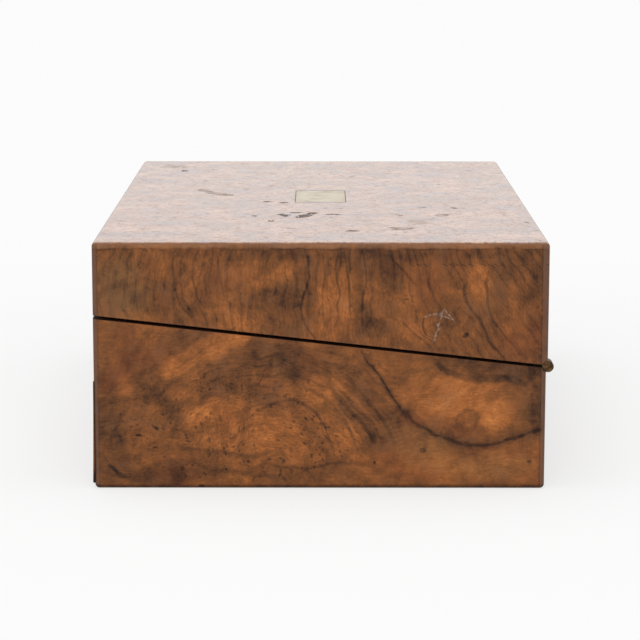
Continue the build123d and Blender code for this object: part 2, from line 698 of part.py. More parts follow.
def strap_leaf(side, barrels):
    """Right-hand leaf on one side of the cut (-1 base, +1 lid), with its share of the three barrels."""
    inner, outer = side * HALF_GAP, side * (HALF_GAP + LEAF_THICK)
    with BuildPart() as leaf:
        with BuildSketch(cut_plane.offset(inner)) as strap:
            rectangle_between(LEAF_INNER, LEAF_OUTER, LEAF_ROOT, LEAF_LENGTH)
            chamfer(strap.vertices().group_by(Axis.Y)[-1], LEAF_CORNER)
        extrude(amount=side * LEAF_THICK)
        for barrel in barrels:
            start = KNUCKLE_INNER + barrel * BARREL_PITCH
            with BuildSketch(hinge_section(start)):
                Circle(KNUCKLE_RADIUS)
            extrude(amount=BARREL)
            # Root that ties the barrel to the strap
            root_start = max(start, LEAF_INNER)
            with BuildSketch(hinge_section(root_start)):
                rectangle_between(0, LEAF_ROOT, min(inner, outer), max(inner, outer))
            extrude(amount=min(start + BARREL, LEAF_OUTER) - root_start)
        with BuildSketch(hinge_section(KNUCKLE_INNER)):
            RegularPolygon(PIN_RADIUS + PIN_FIT, BORE_SIDES, major_radius=False)
        extrude(amount=KNUCKLE_LENGTH, mode=Mode.SUBTRACT)
        # Holes that the heads of the screws fill
        screw_pitch = (LEAF_LENGTH - LEAF_ROOT) / LEAF_SCREWS
        with BuildSketch(cut_plane.offset(inner)):
            for screw in range(LEAF_SCREWS):
                with Locations(((LEAF_INNER + LEAF_OUTER) / 2, LEAF_ROOT + (screw + 0.5) * screw_pitch)):
                    RegularPolygon(SCREW_HEAD_RADIUS, BORE_SIDES, major_radius=False)
        extrude(amount=side * LEAF_THICK, mode=Mode.SUBTRACT)
    return leaf


leaves = {"base": strap_leaf(-1, (1,)), "lid": strap_leaf(1, (0, 2))}
for owner, right_leaf in leaves.items():
    finish(right_leaf, f"right_hinge_{owner}_leaf")
    with BuildPart() as left_leaf:
        mirror(right_leaf.part, about=Plane.YZ)
    finish(left_leaf, f"left_hinge_{owner}_leaf")

with BuildPart() as hinge_pins:
    with BuildSketch(hinge_section(KNUCKLE_INNER)):
        Circle(PIN_RADIUS)
    extrude(amount=KNUCKLE_LENGTH)
    mirror(about=Plane.YZ)
finish(hinge_pins, "hinge_pins")

# ---------------------------------------------------------------- writing flaps


def flap_pieces(side, rear, tab_x):
    """Board, let-in leather and pull tab of the flap on one side of the cut (-1 base, +1 lid)."""
    rim = cut_plane.offset(side * HALF_GAP)
    with BuildPart() as leather:
        with BuildSketch(rim):
            rectangle_between(
                -FLAP_END + FLAP_MARGIN, FLAP_END - FLAP_MARGIN, FLAP_FRONT, rear - FLAP_MARGIN
            )
        extrude(amount=side * LEATHER)
    with BuildPart() as board:
        with BuildSketch(rim):
            rectangle_between(-FLAP_END, FLAP_END, FLAP_FRONT, rear)
        extrude(amount=side * FLAP_BOARD)
        add(leather.part, mode=Mode.SUBTRACT)
    with BuildPart() as tab:
        with BuildSketch(rim) as outline:
            rectangle_between(
                tab_x - TAB_WIDTH / 2, tab_x + TAB_WIDTH / 2, rear - TAB_LENGTH, rear - FLAP_CLEARANCE
            )
            fillet(outline.vertices().group_by(Axis.Y)[-1], TAB_ROUND)
        extrude(amount=-side * TAB_THICK)
    return board, leather, tab


for owner, side, rear, tab_x in (
    ("base", -1, BASE_FLAP_REAR, TAB_OFFSET),
    ("lid", 1, LID_FLAP_REAR, -TAB_OFFSET),
):
    board, leather, tab = flap_pieces(side, rear, tab_x)
    finish(board, f"{owner}_flap_board")
    finish(leather, f"{owner}_flap_leather")
    finish(tab, f"{owner}_flap_tab")

with BuildPart() as flap_catch:
    with BuildSketch(lid_rim.offset(-CATCH_GAP)):
        with Locations((CATCH_X, up_slope(INNER_REAR + BOARD / 2, HALF_GAP))):
            SlotOverall(CATCH_LENGTH, CATCH_WIDTH)
    extrude(amount=-CATCH_THICK)
    with BuildSketch(lid_rim.offset(-CATCH_GAP)):
        with Locations((CATCH_X, up_slope(INNER_REAR + BOARD / 2, HALF_GAP))):
            Circle(CATCH_STEM_RADIUS)
    extrude(amount=CATCH_STEM)
finish(flap_catch, "flap_catch")

# ---------------------------------------------------------------- drawer
SIDE_FOOT = BOTTOM_BOARD + RUNNING_GAP
SIDE_TOP = SIDE_FOOT + DRAWER_SIDE_HEIGHT
GROOVE_FOOT = SIDE_FOOT + GROOVE_HEIGHT
TAIL_PITCH = DRAWER_SIDE_HEIGHT / DOVETAILS
TAIL_ROOT = TAIL_PITCH / 2
TAIL_LENGTH = BOARD - DOVETAIL_LAP

with BuildPart() as drawer_bottom:
    with BuildSketch(Plane.XY.offset(GROOVE_FOOT)):
        rectangle_between(
            DRAWER_BACK_X,
            INNER_X + GROOVE_DEPTH,
            DRAWER_LEFT + DRAWER_SIDE - GROOVE_DEPTH,
            DRAWER_RIGHT - DRAWER_SIDE + GROOVE_DEPTH,
        )
    extrude(amount=DRAWER_BOTTOM)
finish(drawer_bottom, "drawer_bottom")



def dovetailed_side(outer_y):
    """One drawer side, with the dovetails that lap into the front board."""
    with BuildPart() as side:
        with BuildSketch(Plane.XZ.offset(-outer_y)):
            rectangle_between(DRAWER_BACK_X, INNER_X, SIDE_FOOT, SIDE_TOP)
            for tail in range(DOVETAILS):
                middle = SIDE_FOOT + (tail + 0.5) * TAIL_PITCH
                with BuildLine():
                    Polyline(
                        (INNER_X, middle - TAIL_ROOT / 2),
                        (INNER_X + TAIL_LENGTH, middle - TAIL_ROOT / 2 - DOVETAIL_FLARE),
                        (INNER_X + TAIL_LENGTH, middle + TAIL_ROOT / 2 + DOVETAIL_FLARE),
                        (INNER_X, middle + TAIL_ROOT / 2),
                        close=True,
                    )
                make_face()
        extrude(amount=-DRAWER_SIDE)
        add(drawer_bottom.part, mode=Mode.SUBTRACT)
    return side


drawer_front_side = dovetailed_side(DRAWER_LEFT)
finish(drawer_front_side, "drawer_front_side")

drawer_rear_side = dovetailed_side(DRAWER_RIGHT - DRAWER_SIDE)
finish(drawer_rear_side, "drawer_rear_side")

with BuildPart() as drawer_back:
    with BuildSketch(Plane.XY.offset(GROOVE_FOOT + DRAWER_BOTTOM)):
        rectangle_between(
            DRAWER_BACK_X,
            DRAWER_BACK_X + DRAWER_SIDE,
            DRAWER_LEFT + DRAWER_SIDE,
            DRAWER_RIGHT - DRAWER_SIDE,
        )
    extrude(amount=SIDE_TOP - GROOVE_FOOT - DRAWER_BOTTOM - DRAWER_BOTTOM)
finish(drawer_back, "drawer_back")

FRONT_FOOT = BOTTOM_BOARD + DRAWER_GAP
PULL_Z = FRONT_FOOT + DRAWER_HEIGHT / 2

with BuildPart() as pull_body:
    with BuildSketch(Plane.YZ.offset(END)):
        with Locations((DRAWER_MID, PULL_Z)):
            RectangleRounded(PULL_LENGTH, PULL_HEIGHT, PULL_CORNER)
    extrude(amount=-PULL_THICK)
    with BuildSketch(Plane.YZ.offset(END)):
        with Locations((DRAWER_MID, PULL_Z)):
            RectangleRounded(CUP_LENGTH, CUP_HEIGHT, PULL_CORNER)
    extrude(amount=-CUP_DEPTH)

with BuildPart() as drawer_front:
    with BuildSketch(Plane.YZ.offset(INNER_X)):
        rectangle_between(DRAWER_LEFT, DRAWER_RIGHT, FRONT_FOOT, FRONT_FOOT + DRAWER_HEIGHT)
    extrude(amount=BOARD)
    for let_in in (drawer_bottom, drawer_front_side, drawer_rear_side, pull_body):
        add(let_in.part, mode=Mode.SUBTRACT)
finish(drawer_front, "drawer_front")

with BuildPart() as drawer_front_veneer:
    with BuildSketch(Plane.YZ.offset(CARCASS_END)):
        rectangle_between(DRAWER_LEFT, DRAWER_RIGHT, FRONT_FOOT, FRONT_FOOT + DRAWER_HEIGHT)
    extrude(amount=VENEER)
    add(pull_body.part, mode=Mode.SUBTRACT)
finish(drawer_front_veneer, "drawer_front_veneer")

BAIL_X = END - BAIL_SETBACK
BAIL_Z = PULL_Z + BAIL_DROP / 2
BAIL_HALF = CUP_LENGTH / 2 - CUP_WALL - BAIL_SIDE_GAP - BAIL_RADIUS
BAIL_TIP = CUP_LENGTH / 2 - CUP_WALL / 3

with BuildPart() as pull_recess:
    with BuildSketch(Plane.YZ.offset(END)):
        with Locations((DRAWER_MID, PULL_Z)):
            RectangleRounded(
                CUP_LENGTH - 2 * CUP_WALL, CUP_HEIGHT - 2 * CUP_WALL, PULL_CORNER - CUP_WALL
            )
    extrude(amount=CUP_WALL - CUP_DEPTH)

with BuildPart() as pull_plate:
    add(pull_body.part)
    add(pull_recess.part, mode=Mode.SUBTRACT)
    # Sockets for the ends of the bail
    with BuildSketch(Plane.XZ.offset(-DRAWER_MID)):
        with Locations((BAIL_X, BAIL_Z)):
            Circle(BAIL_RADIUS + BAIL_PIVOT_FIT)
    extrude(amount=BAIL_TIP + BAIL_PIVOT_FIT, both=True, mode=Mode.SUBTRACT)
finish(pull_plate, "pull_plate")

with BuildPart() as pull_bail:
    with BuildLine() as bail_path:
        FilletPolyline(
            (BAIL_X, DRAWER_MID - BAIL_TIP, BAIL_Z),
            (BAIL_X, DRAWER_MID - BAIL_HALF, BAIL_Z),
            (BAIL_X, DRAWER_MID - BAIL_HALF, BAIL_Z - BAIL_DROP),
            (BAIL_X, DRAWER_MID + BAIL_HALF, BAIL_Z - BAIL_DROP),
            (BAIL_X, DRAWER_MID + BAIL_HALF, BAIL_Z),
            (BAIL_X, DRAWER_MID + BAIL_TIP, BAIL_Z),
            radius=(BAIL_NECK_BEND, BAIL_BEND, BAIL_BEND, BAIL_NECK_BEND),
        )
    with BuildSketch(Plane.XZ.offset(BAIL_TIP - DRAWER_MID)):
        with Locations((BAIL_X, BAIL_Z)):
            RegularPolygon(BAIL_RADIUS, BAIL_SIDES)
    sweep(path=bail_path.line)
finish(pull_bail, "pull_bail")
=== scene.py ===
# %% [markdown]
# # A letter writing box with a drawer
# The box is a sloping-cut walnut case: the lid hinges at the front, folds right over and makes a
# writing slope with the base. The solids come from the CAD model, which is loaded as a fixed frame.
# This script gives each solid its finish, replaces the few that need softer forms, and adds the
# small things that CAD leaves out: screws, pins, dried ink, a lifted sliver of veneer.

# %% Load the model
from functools import reduce
import math

import bmesh
import bpy
from mathutils import Matrix, Vector


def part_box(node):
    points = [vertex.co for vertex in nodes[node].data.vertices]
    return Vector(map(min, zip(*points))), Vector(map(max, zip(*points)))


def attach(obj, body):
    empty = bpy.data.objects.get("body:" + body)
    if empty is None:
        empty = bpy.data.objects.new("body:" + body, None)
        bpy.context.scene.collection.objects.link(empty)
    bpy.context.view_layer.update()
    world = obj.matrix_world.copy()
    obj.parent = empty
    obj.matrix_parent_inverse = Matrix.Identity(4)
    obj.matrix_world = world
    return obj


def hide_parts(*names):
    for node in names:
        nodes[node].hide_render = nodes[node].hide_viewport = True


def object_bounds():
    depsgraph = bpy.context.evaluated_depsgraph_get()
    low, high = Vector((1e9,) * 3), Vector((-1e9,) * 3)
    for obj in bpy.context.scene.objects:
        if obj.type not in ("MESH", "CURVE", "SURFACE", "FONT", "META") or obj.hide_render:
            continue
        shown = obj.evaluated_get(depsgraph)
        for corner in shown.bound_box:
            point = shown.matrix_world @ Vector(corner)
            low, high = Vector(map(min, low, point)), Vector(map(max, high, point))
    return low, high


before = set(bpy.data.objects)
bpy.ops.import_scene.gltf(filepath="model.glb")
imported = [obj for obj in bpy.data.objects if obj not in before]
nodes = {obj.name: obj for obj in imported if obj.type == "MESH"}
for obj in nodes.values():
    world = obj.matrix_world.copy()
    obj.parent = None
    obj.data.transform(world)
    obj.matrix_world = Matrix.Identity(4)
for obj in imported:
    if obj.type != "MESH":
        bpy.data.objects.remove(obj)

cad_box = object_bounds()
MM = 0.001
print(len(nodes), "solids loaded")

# %% [markdown]
# ## The camera
# The photograph was taken from a little above the box, 1.3 m from its left end, with a long lens.
# A camera can be set by eye in the viewport. Here its place was found by matching the corners of
# the box with those in the picture, so that render and photograph can be laid over each other.

# %% Camera
CAMERA_PLACE = (-1.5108, 0.0013, 0.3313)
CAMERA_LENS = 134.4
SENSOR_WIDTH = 36.0
CAMERA_DROP = math.radians(10.1786)
CAMERA_YAW = math.radians(-0.04)
CAMERA_ROLL = math.radians(0.05)

bpy.ops.object.camera_add(location=CAMERA_PLACE)
camera = bpy.context.object
camera.data.lens = CAMERA_LENS
camera.data.sensor_width = SENSOR_WIDTH
turn_down = Matrix.Rotation(math.pi / 2 - CAMERA_DROP, 4, "X")
face_box = Matrix.Rotation(CAMERA_YAW - math.pi / 2, 4, "Z")
level = Matrix.Rotation(CAMERA_ROLL, 4, "Z")
camera.matrix_world = Matrix.Translation(CAMERA_PLACE) @ face_box @ turn_down @ level
bpy.context.scene.camera = camera
print("camera", round(Vector(CAMERA_PLACE).length, 2), "m from the origin")

# %% [markdown]
# ## Shader maths
# A finish is a graph of nodes. Wired by hand, a sum of many masks is a web of boxes; written as
# Python it is one line. So a small class wraps an output of a node, and adding, taking away,
# multiplying or dividing adds the Math node that does it. Every other node comes from one method,
# which sets the node's own settings and then fills its sockets.

# %% Stops of a ramp and points of a curve
def set_stops(ramp, stops):
    """Gives a colour ramp its (place, colour) stops."""
    while len(ramp.elements) < len(stops):
        ramp.elements.new(0.5)
    for element, (place, colour) in zip(ramp.elements, stops):
        element.position = place
        element.color = colour


def set_curve(mapping, points):
    """Gives a float curve its points, each from 0 to 1 both ways."""
    curve = mapping.curves[0]
    while len(curve.points) < len(points):
        curve.points.new(0.5, 0.5)
    for point, place in zip(curve.points, points):
        point.location = place
    mapping.update()


print("ramps take stops, curves take points")

# %% Sockets that can be added and multiplied
class Socket:
    """An output of a node, in the node tree of the finish that it belongs to."""

    def __init__(self, tree, output=None):
        self.tree = tree
        self.output = output

    def node(self, kind, settings=None, inputs=None, output=0):
        made = self.tree.nodes.new(kind)
        for name, value in (settings or {}).items():
            if name == "stops":
                set_stops(made.color_ramp, value)
            elif name == "curve":
                set_curve(made.mapping, value)
            else:
                setattr(made, name, value)
        for name, value in (inputs or {}).items():
            if isinstance(value, Socket):
                self.tree.links.new(value.output, made.inputs[name])
            else:
                made.inputs[name].default_value = value
        return Socket(self.tree, made.outputs[output])

    def other(self, name):
        """Another output of the same node."""
        return Socket(self.tree, self.output.node.outputs[name])

    def maths(self, operation, second=0.0, first=None):
        """A Math node on this socket and a second value, or on a first and a second value."""
        values = {0: self if first is None else first, 1: second}
        return self.node("ShaderNodeMath", {"operation": operation}, values)

    def __add__(self, other):
        return self.maths("ADD", other)

    def __sub__(self, other):
        return self.maths("SUBTRACT", other)

    def __rsub__(self, other):
        return self.maths("SUBTRACT", self, other)

    def __mul__(self, other):
        return self.maths("MULTIPLY", other)

    def __truediv__(self, other):
        return self.maths("DIVIDE", other)

    def __abs__(self):
        return self.maths("ABSOLUTE")

    __radd__ = __add__
    __rmul__ = __mul__


print("sums, products and abs() of sockets add Math nodes")

# %% [markdown]
# ## Helpers for finishes
# The same few moves come back in every finish: a smooth step between two values, a mix of two
# colours, clouds of a given size, a place that wanders so that no line is ruled. Each gets a short
# name and takes sizes in metres, as the box is measured in metres.

# %% Small helpers for finishes
def tone(red, green, blue):
    """A colour as an eye dropper reads it, 0 to 255, turned into the linear one that shaders take."""
    parts = [c / 255 for c in (red, green, blue)]
    return tuple(c / 12.92 if c < 0.04045 else ((c + 0.055) / 1.055) ** 2.4 for c in parts) + (1.0,)


def darker(colour, share):
    return tuple(c * share for c in colour[:3]) + (1.0,)


def fade(value, start, end):
    """0 where value is at start, 1 at end, smooth between; start may be the larger one."""
    inputs = {"Value": value, "From Min": start, "From Max": end}
    return value.node("ShaderNodeMapRange", {"interpolation_type": "SMOOTHSTEP"}, inputs)


def near(value, place, reach):
    """1 where value is at place, 0 where it is reach away."""
    return fade(abs(value - place), reach, 0)


def strongest(masks):
    """The strongest of several masks at each place."""
    return reduce(lambda one, another: one.maths("MAXIMUM", another), masks)


def mix(amount, first, second):
    """The first colour where amount is 0, the second where it is 1."""
    made = next(s for s in (amount, first, second) if isinstance(s, Socket))
    return made.node("ShaderNodeMix", {"data_type": "RGBA"}, {0: amount, 6: first, 7: second}, 2)


print("mid grey is", round(tone(128, 128, 128)[0], 2), "of white in linear light")

# %% Places and clouds
def noise(place, size, detail=2.0, roughness=0.5, output=0):
    """Clouds of a size in metres, from 0 to 1, over the place."""
    inputs = {"Vector": place, "Scale": 1 / size, "Detail": detail, "Roughness": roughness}
    return place.node("ShaderNodeTexNoise", None, inputs, output)


def stretched(place, sizes, shift=(0, 0, 0)):
    """The place measured in its own units along x, y and z, so that a pattern gets those sizes."""
    scale = tuple(1 / size for size in sizes)
    return place.node("ShaderNodeMapping", None, {"Vector": place, "Scale": scale, "Location": shift})


def vector(operation, first, second):
    return first.node("ShaderNodeVectorMath", {"operation": operation}, {0: first, 1: second})


def wander(place, size, reach, shift=0.0):
    """The place pushed about by clouds of a size, by up to about reach."""
    clouds = noise(vector("ADD", place, (shift, shift, shift)), size, 2.0, 0.5, "Color")
    push_about = vector("MULTIPLY", vector("SUBTRACT", clouds, (0.5, 0.5, 0.5)), (2 * reach,) * 3)
    return vector("ADD", place, push_about)


def split(place):
    """The x, y and z of a place."""
    made = place.node("ShaderNodeSeparateXYZ", None, {0: place})
    return [made.other(axis) for axis in "XYZ"]


def join(x, y, z=0.0):
    known = next(s for s in (x, y, z) if isinstance(s, Socket))
    return known.node("ShaderNodeCombineXYZ", None, {0: x, 1: y, 2: z})


print("one millimetre is", MM, "of a pattern's unit")

# %% A finish: a material, its shader and the place on the piece
finishes = {}


class Finish:
    def __init__(self, name, **constants):
        self.material = bpy.data.materials.new(name)
        self.material.use_nodes = True
        self.tree = self.material.node_tree
        self.shader = self.tree.nodes["Principled BSDF"]
        self.place = Socket(self.tree).node("ShaderNodeTexCoord", None, None, "Object")
        for socket, value in constants.items():
            self.shader.inputs[socket.replace("_", " ")].default_value = value

    def in_mm(self, axes, reach=0.0, size=9.0):
        """Millimetres along the axes, wavering by up to reach in waves of a size."""
        place = wander(self.place, size * MM, reach * MM) if reach else self.place
        return [part * (1 / MM) for part, axis in zip(split(place), "xyz") if axis in axes]

    def take(self, socket, value):
        """Links what varies, or sets what doesn't, on the shader."""
        if isinstance(value, Socket):
            self.tree.links.new(value.output, self.shader.inputs[socket])
        else:
            self.shader.inputs[socket].default_value = value

    def complete(self, colour, rough, height, depth):
        """Colour, roughness and a height from 0 to 1 that stands depth tall."""
        self.take("Base Color", colour)
        self.take("Roughness", rough)
        self.take("Normal", height.node("ShaderNodeBump", None, {"Height": height, "Distance": depth}))
        return self.material


def keep(name, material):
    """Keeps a finish under the name that the pieces ask for."""
    finishes[name] = material
    print(name, "finish:", len(material.node_tree.nodes), "nodes")


print("a finish reads its place on the piece in metres")

# %% [markdown]
# ## Burr walnut
# The show veneer is burr walnut: slices through a knotty growth, so the figure flows in clouds,
# bands and swirls, with tiny dark eyes. A photograph of veneer would repeat and blur close by, so
# one function makes the general figure from noise whose place is pushed about by slower noise. A
# face that shows a figure of its own adds its veins, patches and marks to it, each at its own
# place in millimetres on that face.

# %% Tones of the walnut
WALNUT_TONES = [
    (0.0, tone(40, 25, 17)),
    (0.2, tone(72, 45, 28)),
    (0.4, tone(98, 61, 35)),
    (0.56, tone(117, 72, 39)),
    (0.72, tone(140, 84, 44)),
    (0.88, tone(166, 101, 52)),
    (1.0, tone(190, 120, 64)),
]
REDDISH = tone(128, 68, 38)
WALNUT_VEIN = tone(38, 24, 17)
WALNUT_GREY = tone(98, 73, 60)
WALNUT_SMOKE = tone(92, 66, 48)
WALNUT_OLIVE = tone(146, 104, 62)
print(len(WALNUT_TONES), "walnut tones from vein to pool")

# %% The general figure
LINE_SPACING = 6.0  # of the growth lines, in millimetres
HAIR_LINES = 2.7  # fine lines to one growth line


def burr_figure(flat, grain, shift=0.0, lift=0.0, eyes=None, flow=None, ring_strength=0.15):
    """Colour and height of burr walnut on a flat face. Grain gives the size of its fibres, lift
    makes it lighter or darker, eyes says where its small knots cluster, and the growth lines run
    where flow, in millimetres, is level."""
    slow = wander(flat, 60 * MM, 15 * MM, shift)
    quick = wander(slow, 10 * MM, 2.6 * MM, shift)
    clouds = noise(quick, 30 * MM, 4.0, 0.6)
    smoke = noise(quick, 8 * MM, 5.0, 0.66)
    fibres = noise(stretched(quick, grain), 1.0, 5.0, 0.78)
    if flow is None:
        flow = noise(slow, 90 * MM, 1.0, 0.4) * 140
    drift = noise(slow, 24 * MM, 2.0) * 2.4 + smoke * 0.8
    turn = 2 * math.pi / LINE_SPACING
    growth = flow * turn + drift * 2 * math.pi
    fine = flow * (turn * HAIR_LINES) + drift * 5 * math.pi
    present = fade(noise(quick, 20 * MM), 0.38, 0.6)
    rings = fade(growth.maths("SINE"), 0.1, 1.0) * present
    hair = fade(fine.maths("SINE"), 0.3, 1.0) * (1 - present * 0.4)
    if eyes is None:
        eyes = fade(noise(slow, 38 * MM, 1.0), 0.5, 0.62)
    eye, halo = burr_eyes(quick, eyes)
    grit = noise(flat, 1.6 * MM, 3.0, 0.7)
    light = (clouds - 0.5) * 0.8 + (smoke - 0.5) * 0.95 + (fibres - 0.5) * 0.6
    light = light + (grit - 0.5) * 0.3 + 0.53 - rings * ring_strength
    light = light - hair * ring_strength * 0.5 - eye * 0.28 + halo * 0.07 + lift
    colour = light.node("ShaderNodeValToRGB", {"stops": WALNUT_TONES}, {0: light})
    colour = mix(fade(noise(slow, 50 * MM, 2.0), 0.5, 0.75) * 0.3, colour, REDDISH)
    colour = mix(fade(noise(quick, 16 * MM, 4.0, 0.65), 0.5, 0.7) * 0.42, colour, WALNUT_SMOKE)
    return colour, fibres * 0.6 + smoke * 0.3 - eye * 0.5


def burr_eyes(flat, where):
    """Small knots, as masks of their dark points and of the paler rings round them."""
    loose = wander(flat, 3 * MM, 1.2 * MM)
    cell = loose.node("ShaderNodeTexVoronoi", None, {"Vector": loose, "Scale": 1 / (3.6 * MM)})
    size = noise(flat, 7 * MM, 1.0) * 0.66
    present = fade(noise(flat, 9 * MM, 2.0), 0.28, 0.46) * where
    points = fade(cell, size + 0.04, size - 0.26) * present
    small = stretched(loose, (2.1 * MM, 2.1 * MM, 1), (0.4, 0.7, 0))
    pin = small.node("ShaderNodeTexVoronoi", None, {"Vector": small, "Scale": 1.0})
    pins = fade(pin, 0.26, 0.1) * present * 0.7
    return strongest([points, pins]), near(cell, 0.4, 0.2) * present


def french_polish(flat, least):
    """Roughness of old polish, which is duller in clouds about 30 mm wide."""
    return fade(noise(flat, 30 * MM), 0.2, 0.8) * 0.15 + least


print("growth lines", LINE_SPACING, "mm apart, with", HAIR_LINES, "fine lines to each")

# %% [markdown]
# ### Marks at a place of their own
# A vein is a curve drawn with a Float Curve node: for each place along the face the curve gives
# how high the vein runs there, and the vein is dark where the face's own height is near it. A
# patch is a turned ellipse with a ragged edge. A stroke is the band round a straight line. Each
# is a shape with numbers, so a face holds its marks as rows of numbers, drawn by one loop.

# %% Veins, patches and strokes
def vein(along, across, points, width, soft=6.0):
    """A band that follows the points, given in millimetres as (along, across)."""
    heights = [p[1] for p in points]
    first, last = points[0][0], points[-1][0]
    low, high = min(heights) - 1, max(heights) + 1
    curve = [((a - first) / (last - first), (h - low) / (high - low)) for a, h in points]
    ratio = (along - first) / (last - first)
    line = along.node("ShaderNodeFloatCurve", {"curve": curve}, {"Value": ratio})
    off = abs(across - (line * (high - low) + low))
    ends = fade(along, first - soft / 4, first + soft) * fade(along, last + soft / 4, last - soft)
    return fade(off, width, width * 0.25) * ends


def patch(across, up, at, reach, turn=0.0, edge=0.5):
    """An ellipse at a place, of a reach both ways, turned; it fades over the edge share."""
    turn = math.radians(turn)
    right = across - at[0]
    rise = up - at[1]
    long_way = (right * math.cos(turn) + rise * math.sin(turn)) / reach[0]
    short_way = (rise * math.cos(turn) - right * math.sin(turn)) / reach[1]
    far = long_way * long_way + short_way * short_way
    return fade(far, 1.0, 1.0 - edge)


def stroke(across, up, start, end, width):
    """A short straight scratch between two places."""
    length = math.dist(start, end)
    turn = math.atan2(end[1] - start[1], end[0] - start[0])
    right = across - (start[0] + end[0]) / 2
    rise = up - (start[1] + end[1]) / 2
    run = right * math.cos(turn) + rise * math.sin(turn)
    off = rise * math.cos(turn) - right * math.sin(turn)
    inside = fade(abs(run), length / 2 + width, length / 2)
    return inside * fade(abs(off), width, width * 0.3)


def away(across, up, at, squash=1.0):
    """The distance from a place, with the way across squashed."""
    right = (across - at[0]) * squash
    rise = up - at[1]
    return (right * right + rise * rise).maths("SQRT")


def drawn(shape, along, across, table):
    """Draws a shape for each row, which holds a strength and the shape's numbers, and adds up."""
    total = 0.0
    for strength, *numbers in table:
        total = shape(along, across, *numbers) * strength + total
    return total


print("marks are measured in millimetres on their face")

# %% [markdown]
# ## The left end of the base
# This is the largest face in the picture. One long vein sweeps down from the cut and up again to
# the front corner; left of it the veneer is a field of burr eyes, above it a warm orange pool. Noise
# alone never puts them there, so the main ones are placed one by one and noise frays their edges.

# %% Pools, veins and specks of the base's left end
# Every row starts with a strength, above 0 for lighter. A pool or a speck goes on with its place,
# its reach both ways, its turn in degrees and the share of it that fades, a vein with its points
# and its width.
LONG_VEIN = [(22, 78), (29, 69), (35, 61), (43, 49), (51, 40), (63, 32), (77, 27), (91, 25),
             (105, 28), (117, 32), (127, 35)]
UPPER_VEIN = [(62, 75), (72, 67), (82, 63.5), (92, 63), (105, 63), (118, 58)]
EYE_VEIN = [(-36, 44), (-16, 51), (-9, 48), (-2, 43), (2, 31), (6, 26)]
BASE_POOLS = [
    (0.20, (-66, 77), (40, 9), 27, 0.8),
    (0.19, (74, 53), (40, 21), -14, 0.9),
    (0.15, (101, 42), (15, 11), 20, 0.9),
    (0.16, (-4, 58), (30, 10), 8, 0.9),
    (0.16, (14, 30), (13, 26), 62, 0.9),
    (0.12, (-46, 32), (48, 22), -6, 0.9),
    (0.13, (84, 14), (46, 11), -4, 0.9),
    (0.10, (-36, 34), (30, 12), 12, 0.9),
    (0.12, (-62, 44), (22, 10), 24, 0.9),
    (0.11, (-14, 20), (22, 9), -12, 0.9),
    (0.12, (-82, 54), (10, 6), 20, 0.9),
    (0.12, (-108, 60), (10, 9), 0, 0.9),
    (-0.14, (-84, 46), (16, 6), -40, 0.9),
    (-0.16, (-104, 12), (14, 8), -40, 0.9),
    (-0.18, (-80, 9), (6, 8), 30, 0.9),
    (-0.12, (-62, 34), (16, 5), 10, 0.9),
    (-0.16, (-100, 68), (12, 24), 24, 0.9),
    (-0.18, (-22, 74), (32, 14), -10, 0.9),
    (-0.16, (-50, 62), (24, 10), 30, 0.9),
    (-0.18, (-118, 34), (11, 46), 4, 0.9),
    (-0.22, (30, 26), (8, 12), -50, 0.9),
    (-0.26, (100, 70), (42, 9), -3, 0.9),
    (-0.16, (44, 38), (12, 12), -50, 0.9),
    (-0.18, (-84, 8), (30, 9), 8, 0.9),
    (-0.22, (122, 60), (7, 40), 0, 0.9),
]
BASE_VEINS = [
    (-0.30, LONG_VEIN, 1.5),
    (-0.20, LONG_VEIN, 4.6),
    (-0.26, UPPER_VEIN, 3.0),
    (-0.24, EYE_VEIN, 1.5),
    (-0.24, [(3, 60), (14, 48), (25, 35), (32, 26)], 3.2),
    (-0.20, [(-4, 47), (1, 38), (5, 28), (9, 18)], 2.2),
    (-0.20, [(10, 68), (22, 56), (33, 42), (42, 24)], 3.0),
    (-0.17, [(-6, 57), (6, 49), (15, 37), (21, 22), (24, 12)], 2.4),
    (0.14, [(-2, 56), (10, 45), (19, 33), (27, 20)], 2.6),
    (0.12, [(4, 64), (17, 53), (29, 40), (37, 26)], 2.4),
    (-0.15, [(-84, 25), (-67, 22), (-54, 20.5), (-40, 18.6), (-28, 21)], 2.2),
    (-0.14, [(-96, 13), (-80, 16), (-62, 12), (-44, 9), (-20, 6)], 2.0),
    (-0.26, [(-122, 21), (-115, 10), (-106, 5.5)], 2.4),
    (-0.16, [(-34, 16), (-10, 12), (14, 15), (30, 10)], 1.5),
]
BASE_SPECKS = [
    (-0.60, (-66.8, 1.4), (1.8, 1.0)),
    (-0.50, (117, 15.8), (1.4, 1.1)),
    (-0.35, (57.8, 22.4), (2.2, 1.6)),
    (-0.50, (30.2, 15.4), (0.9, 1.3)),
    (-0.40, (-93, 35), (2.6, 1.0), -35),
    (-0.40, (-102, 31), (2.0, 1.0)),
]
print("base:", len(BASE_POOLS), "pools,", len(BASE_VEINS), "veins,", len(BASE_SPECKS), "specks")

# %% [markdown]
# ### Worn edges and painted shade
# Where veneers meet at a corner the polish is worn, the wood is grey and the glue line dark. The
# rims of the sloping cut are painted black: painted shade of the gap between lid and base. The
# bottom few millimetres of a face are painted darker: painted shade where the box meets the floor.
# All follow from the place alone, so every face gets them from the same two functions, with the
# corners read from the frame.

# %% Worn corners and painted shade of the case
CASE_END = cad_box[1][0]
CASE_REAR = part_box("base_rear_veneer")[1][1]
LID_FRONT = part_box("lid_front_veneer")[0][1]
CUT_HINGE = (-0.127, 0.070)  # where the cut meets the front, in metres back and up
CUT_RISE = math.tan(math.radians(6.29))
# Painted shade of the gap between lid and base: its black, the half width of the black rims, and how
# they widen towards the rear.
GAP_SHADE_BLACK = tone(10, 8, 7)
BLACK_RIM = 0.7 * MM
BLACK_GROWTH = 0.14 / 254


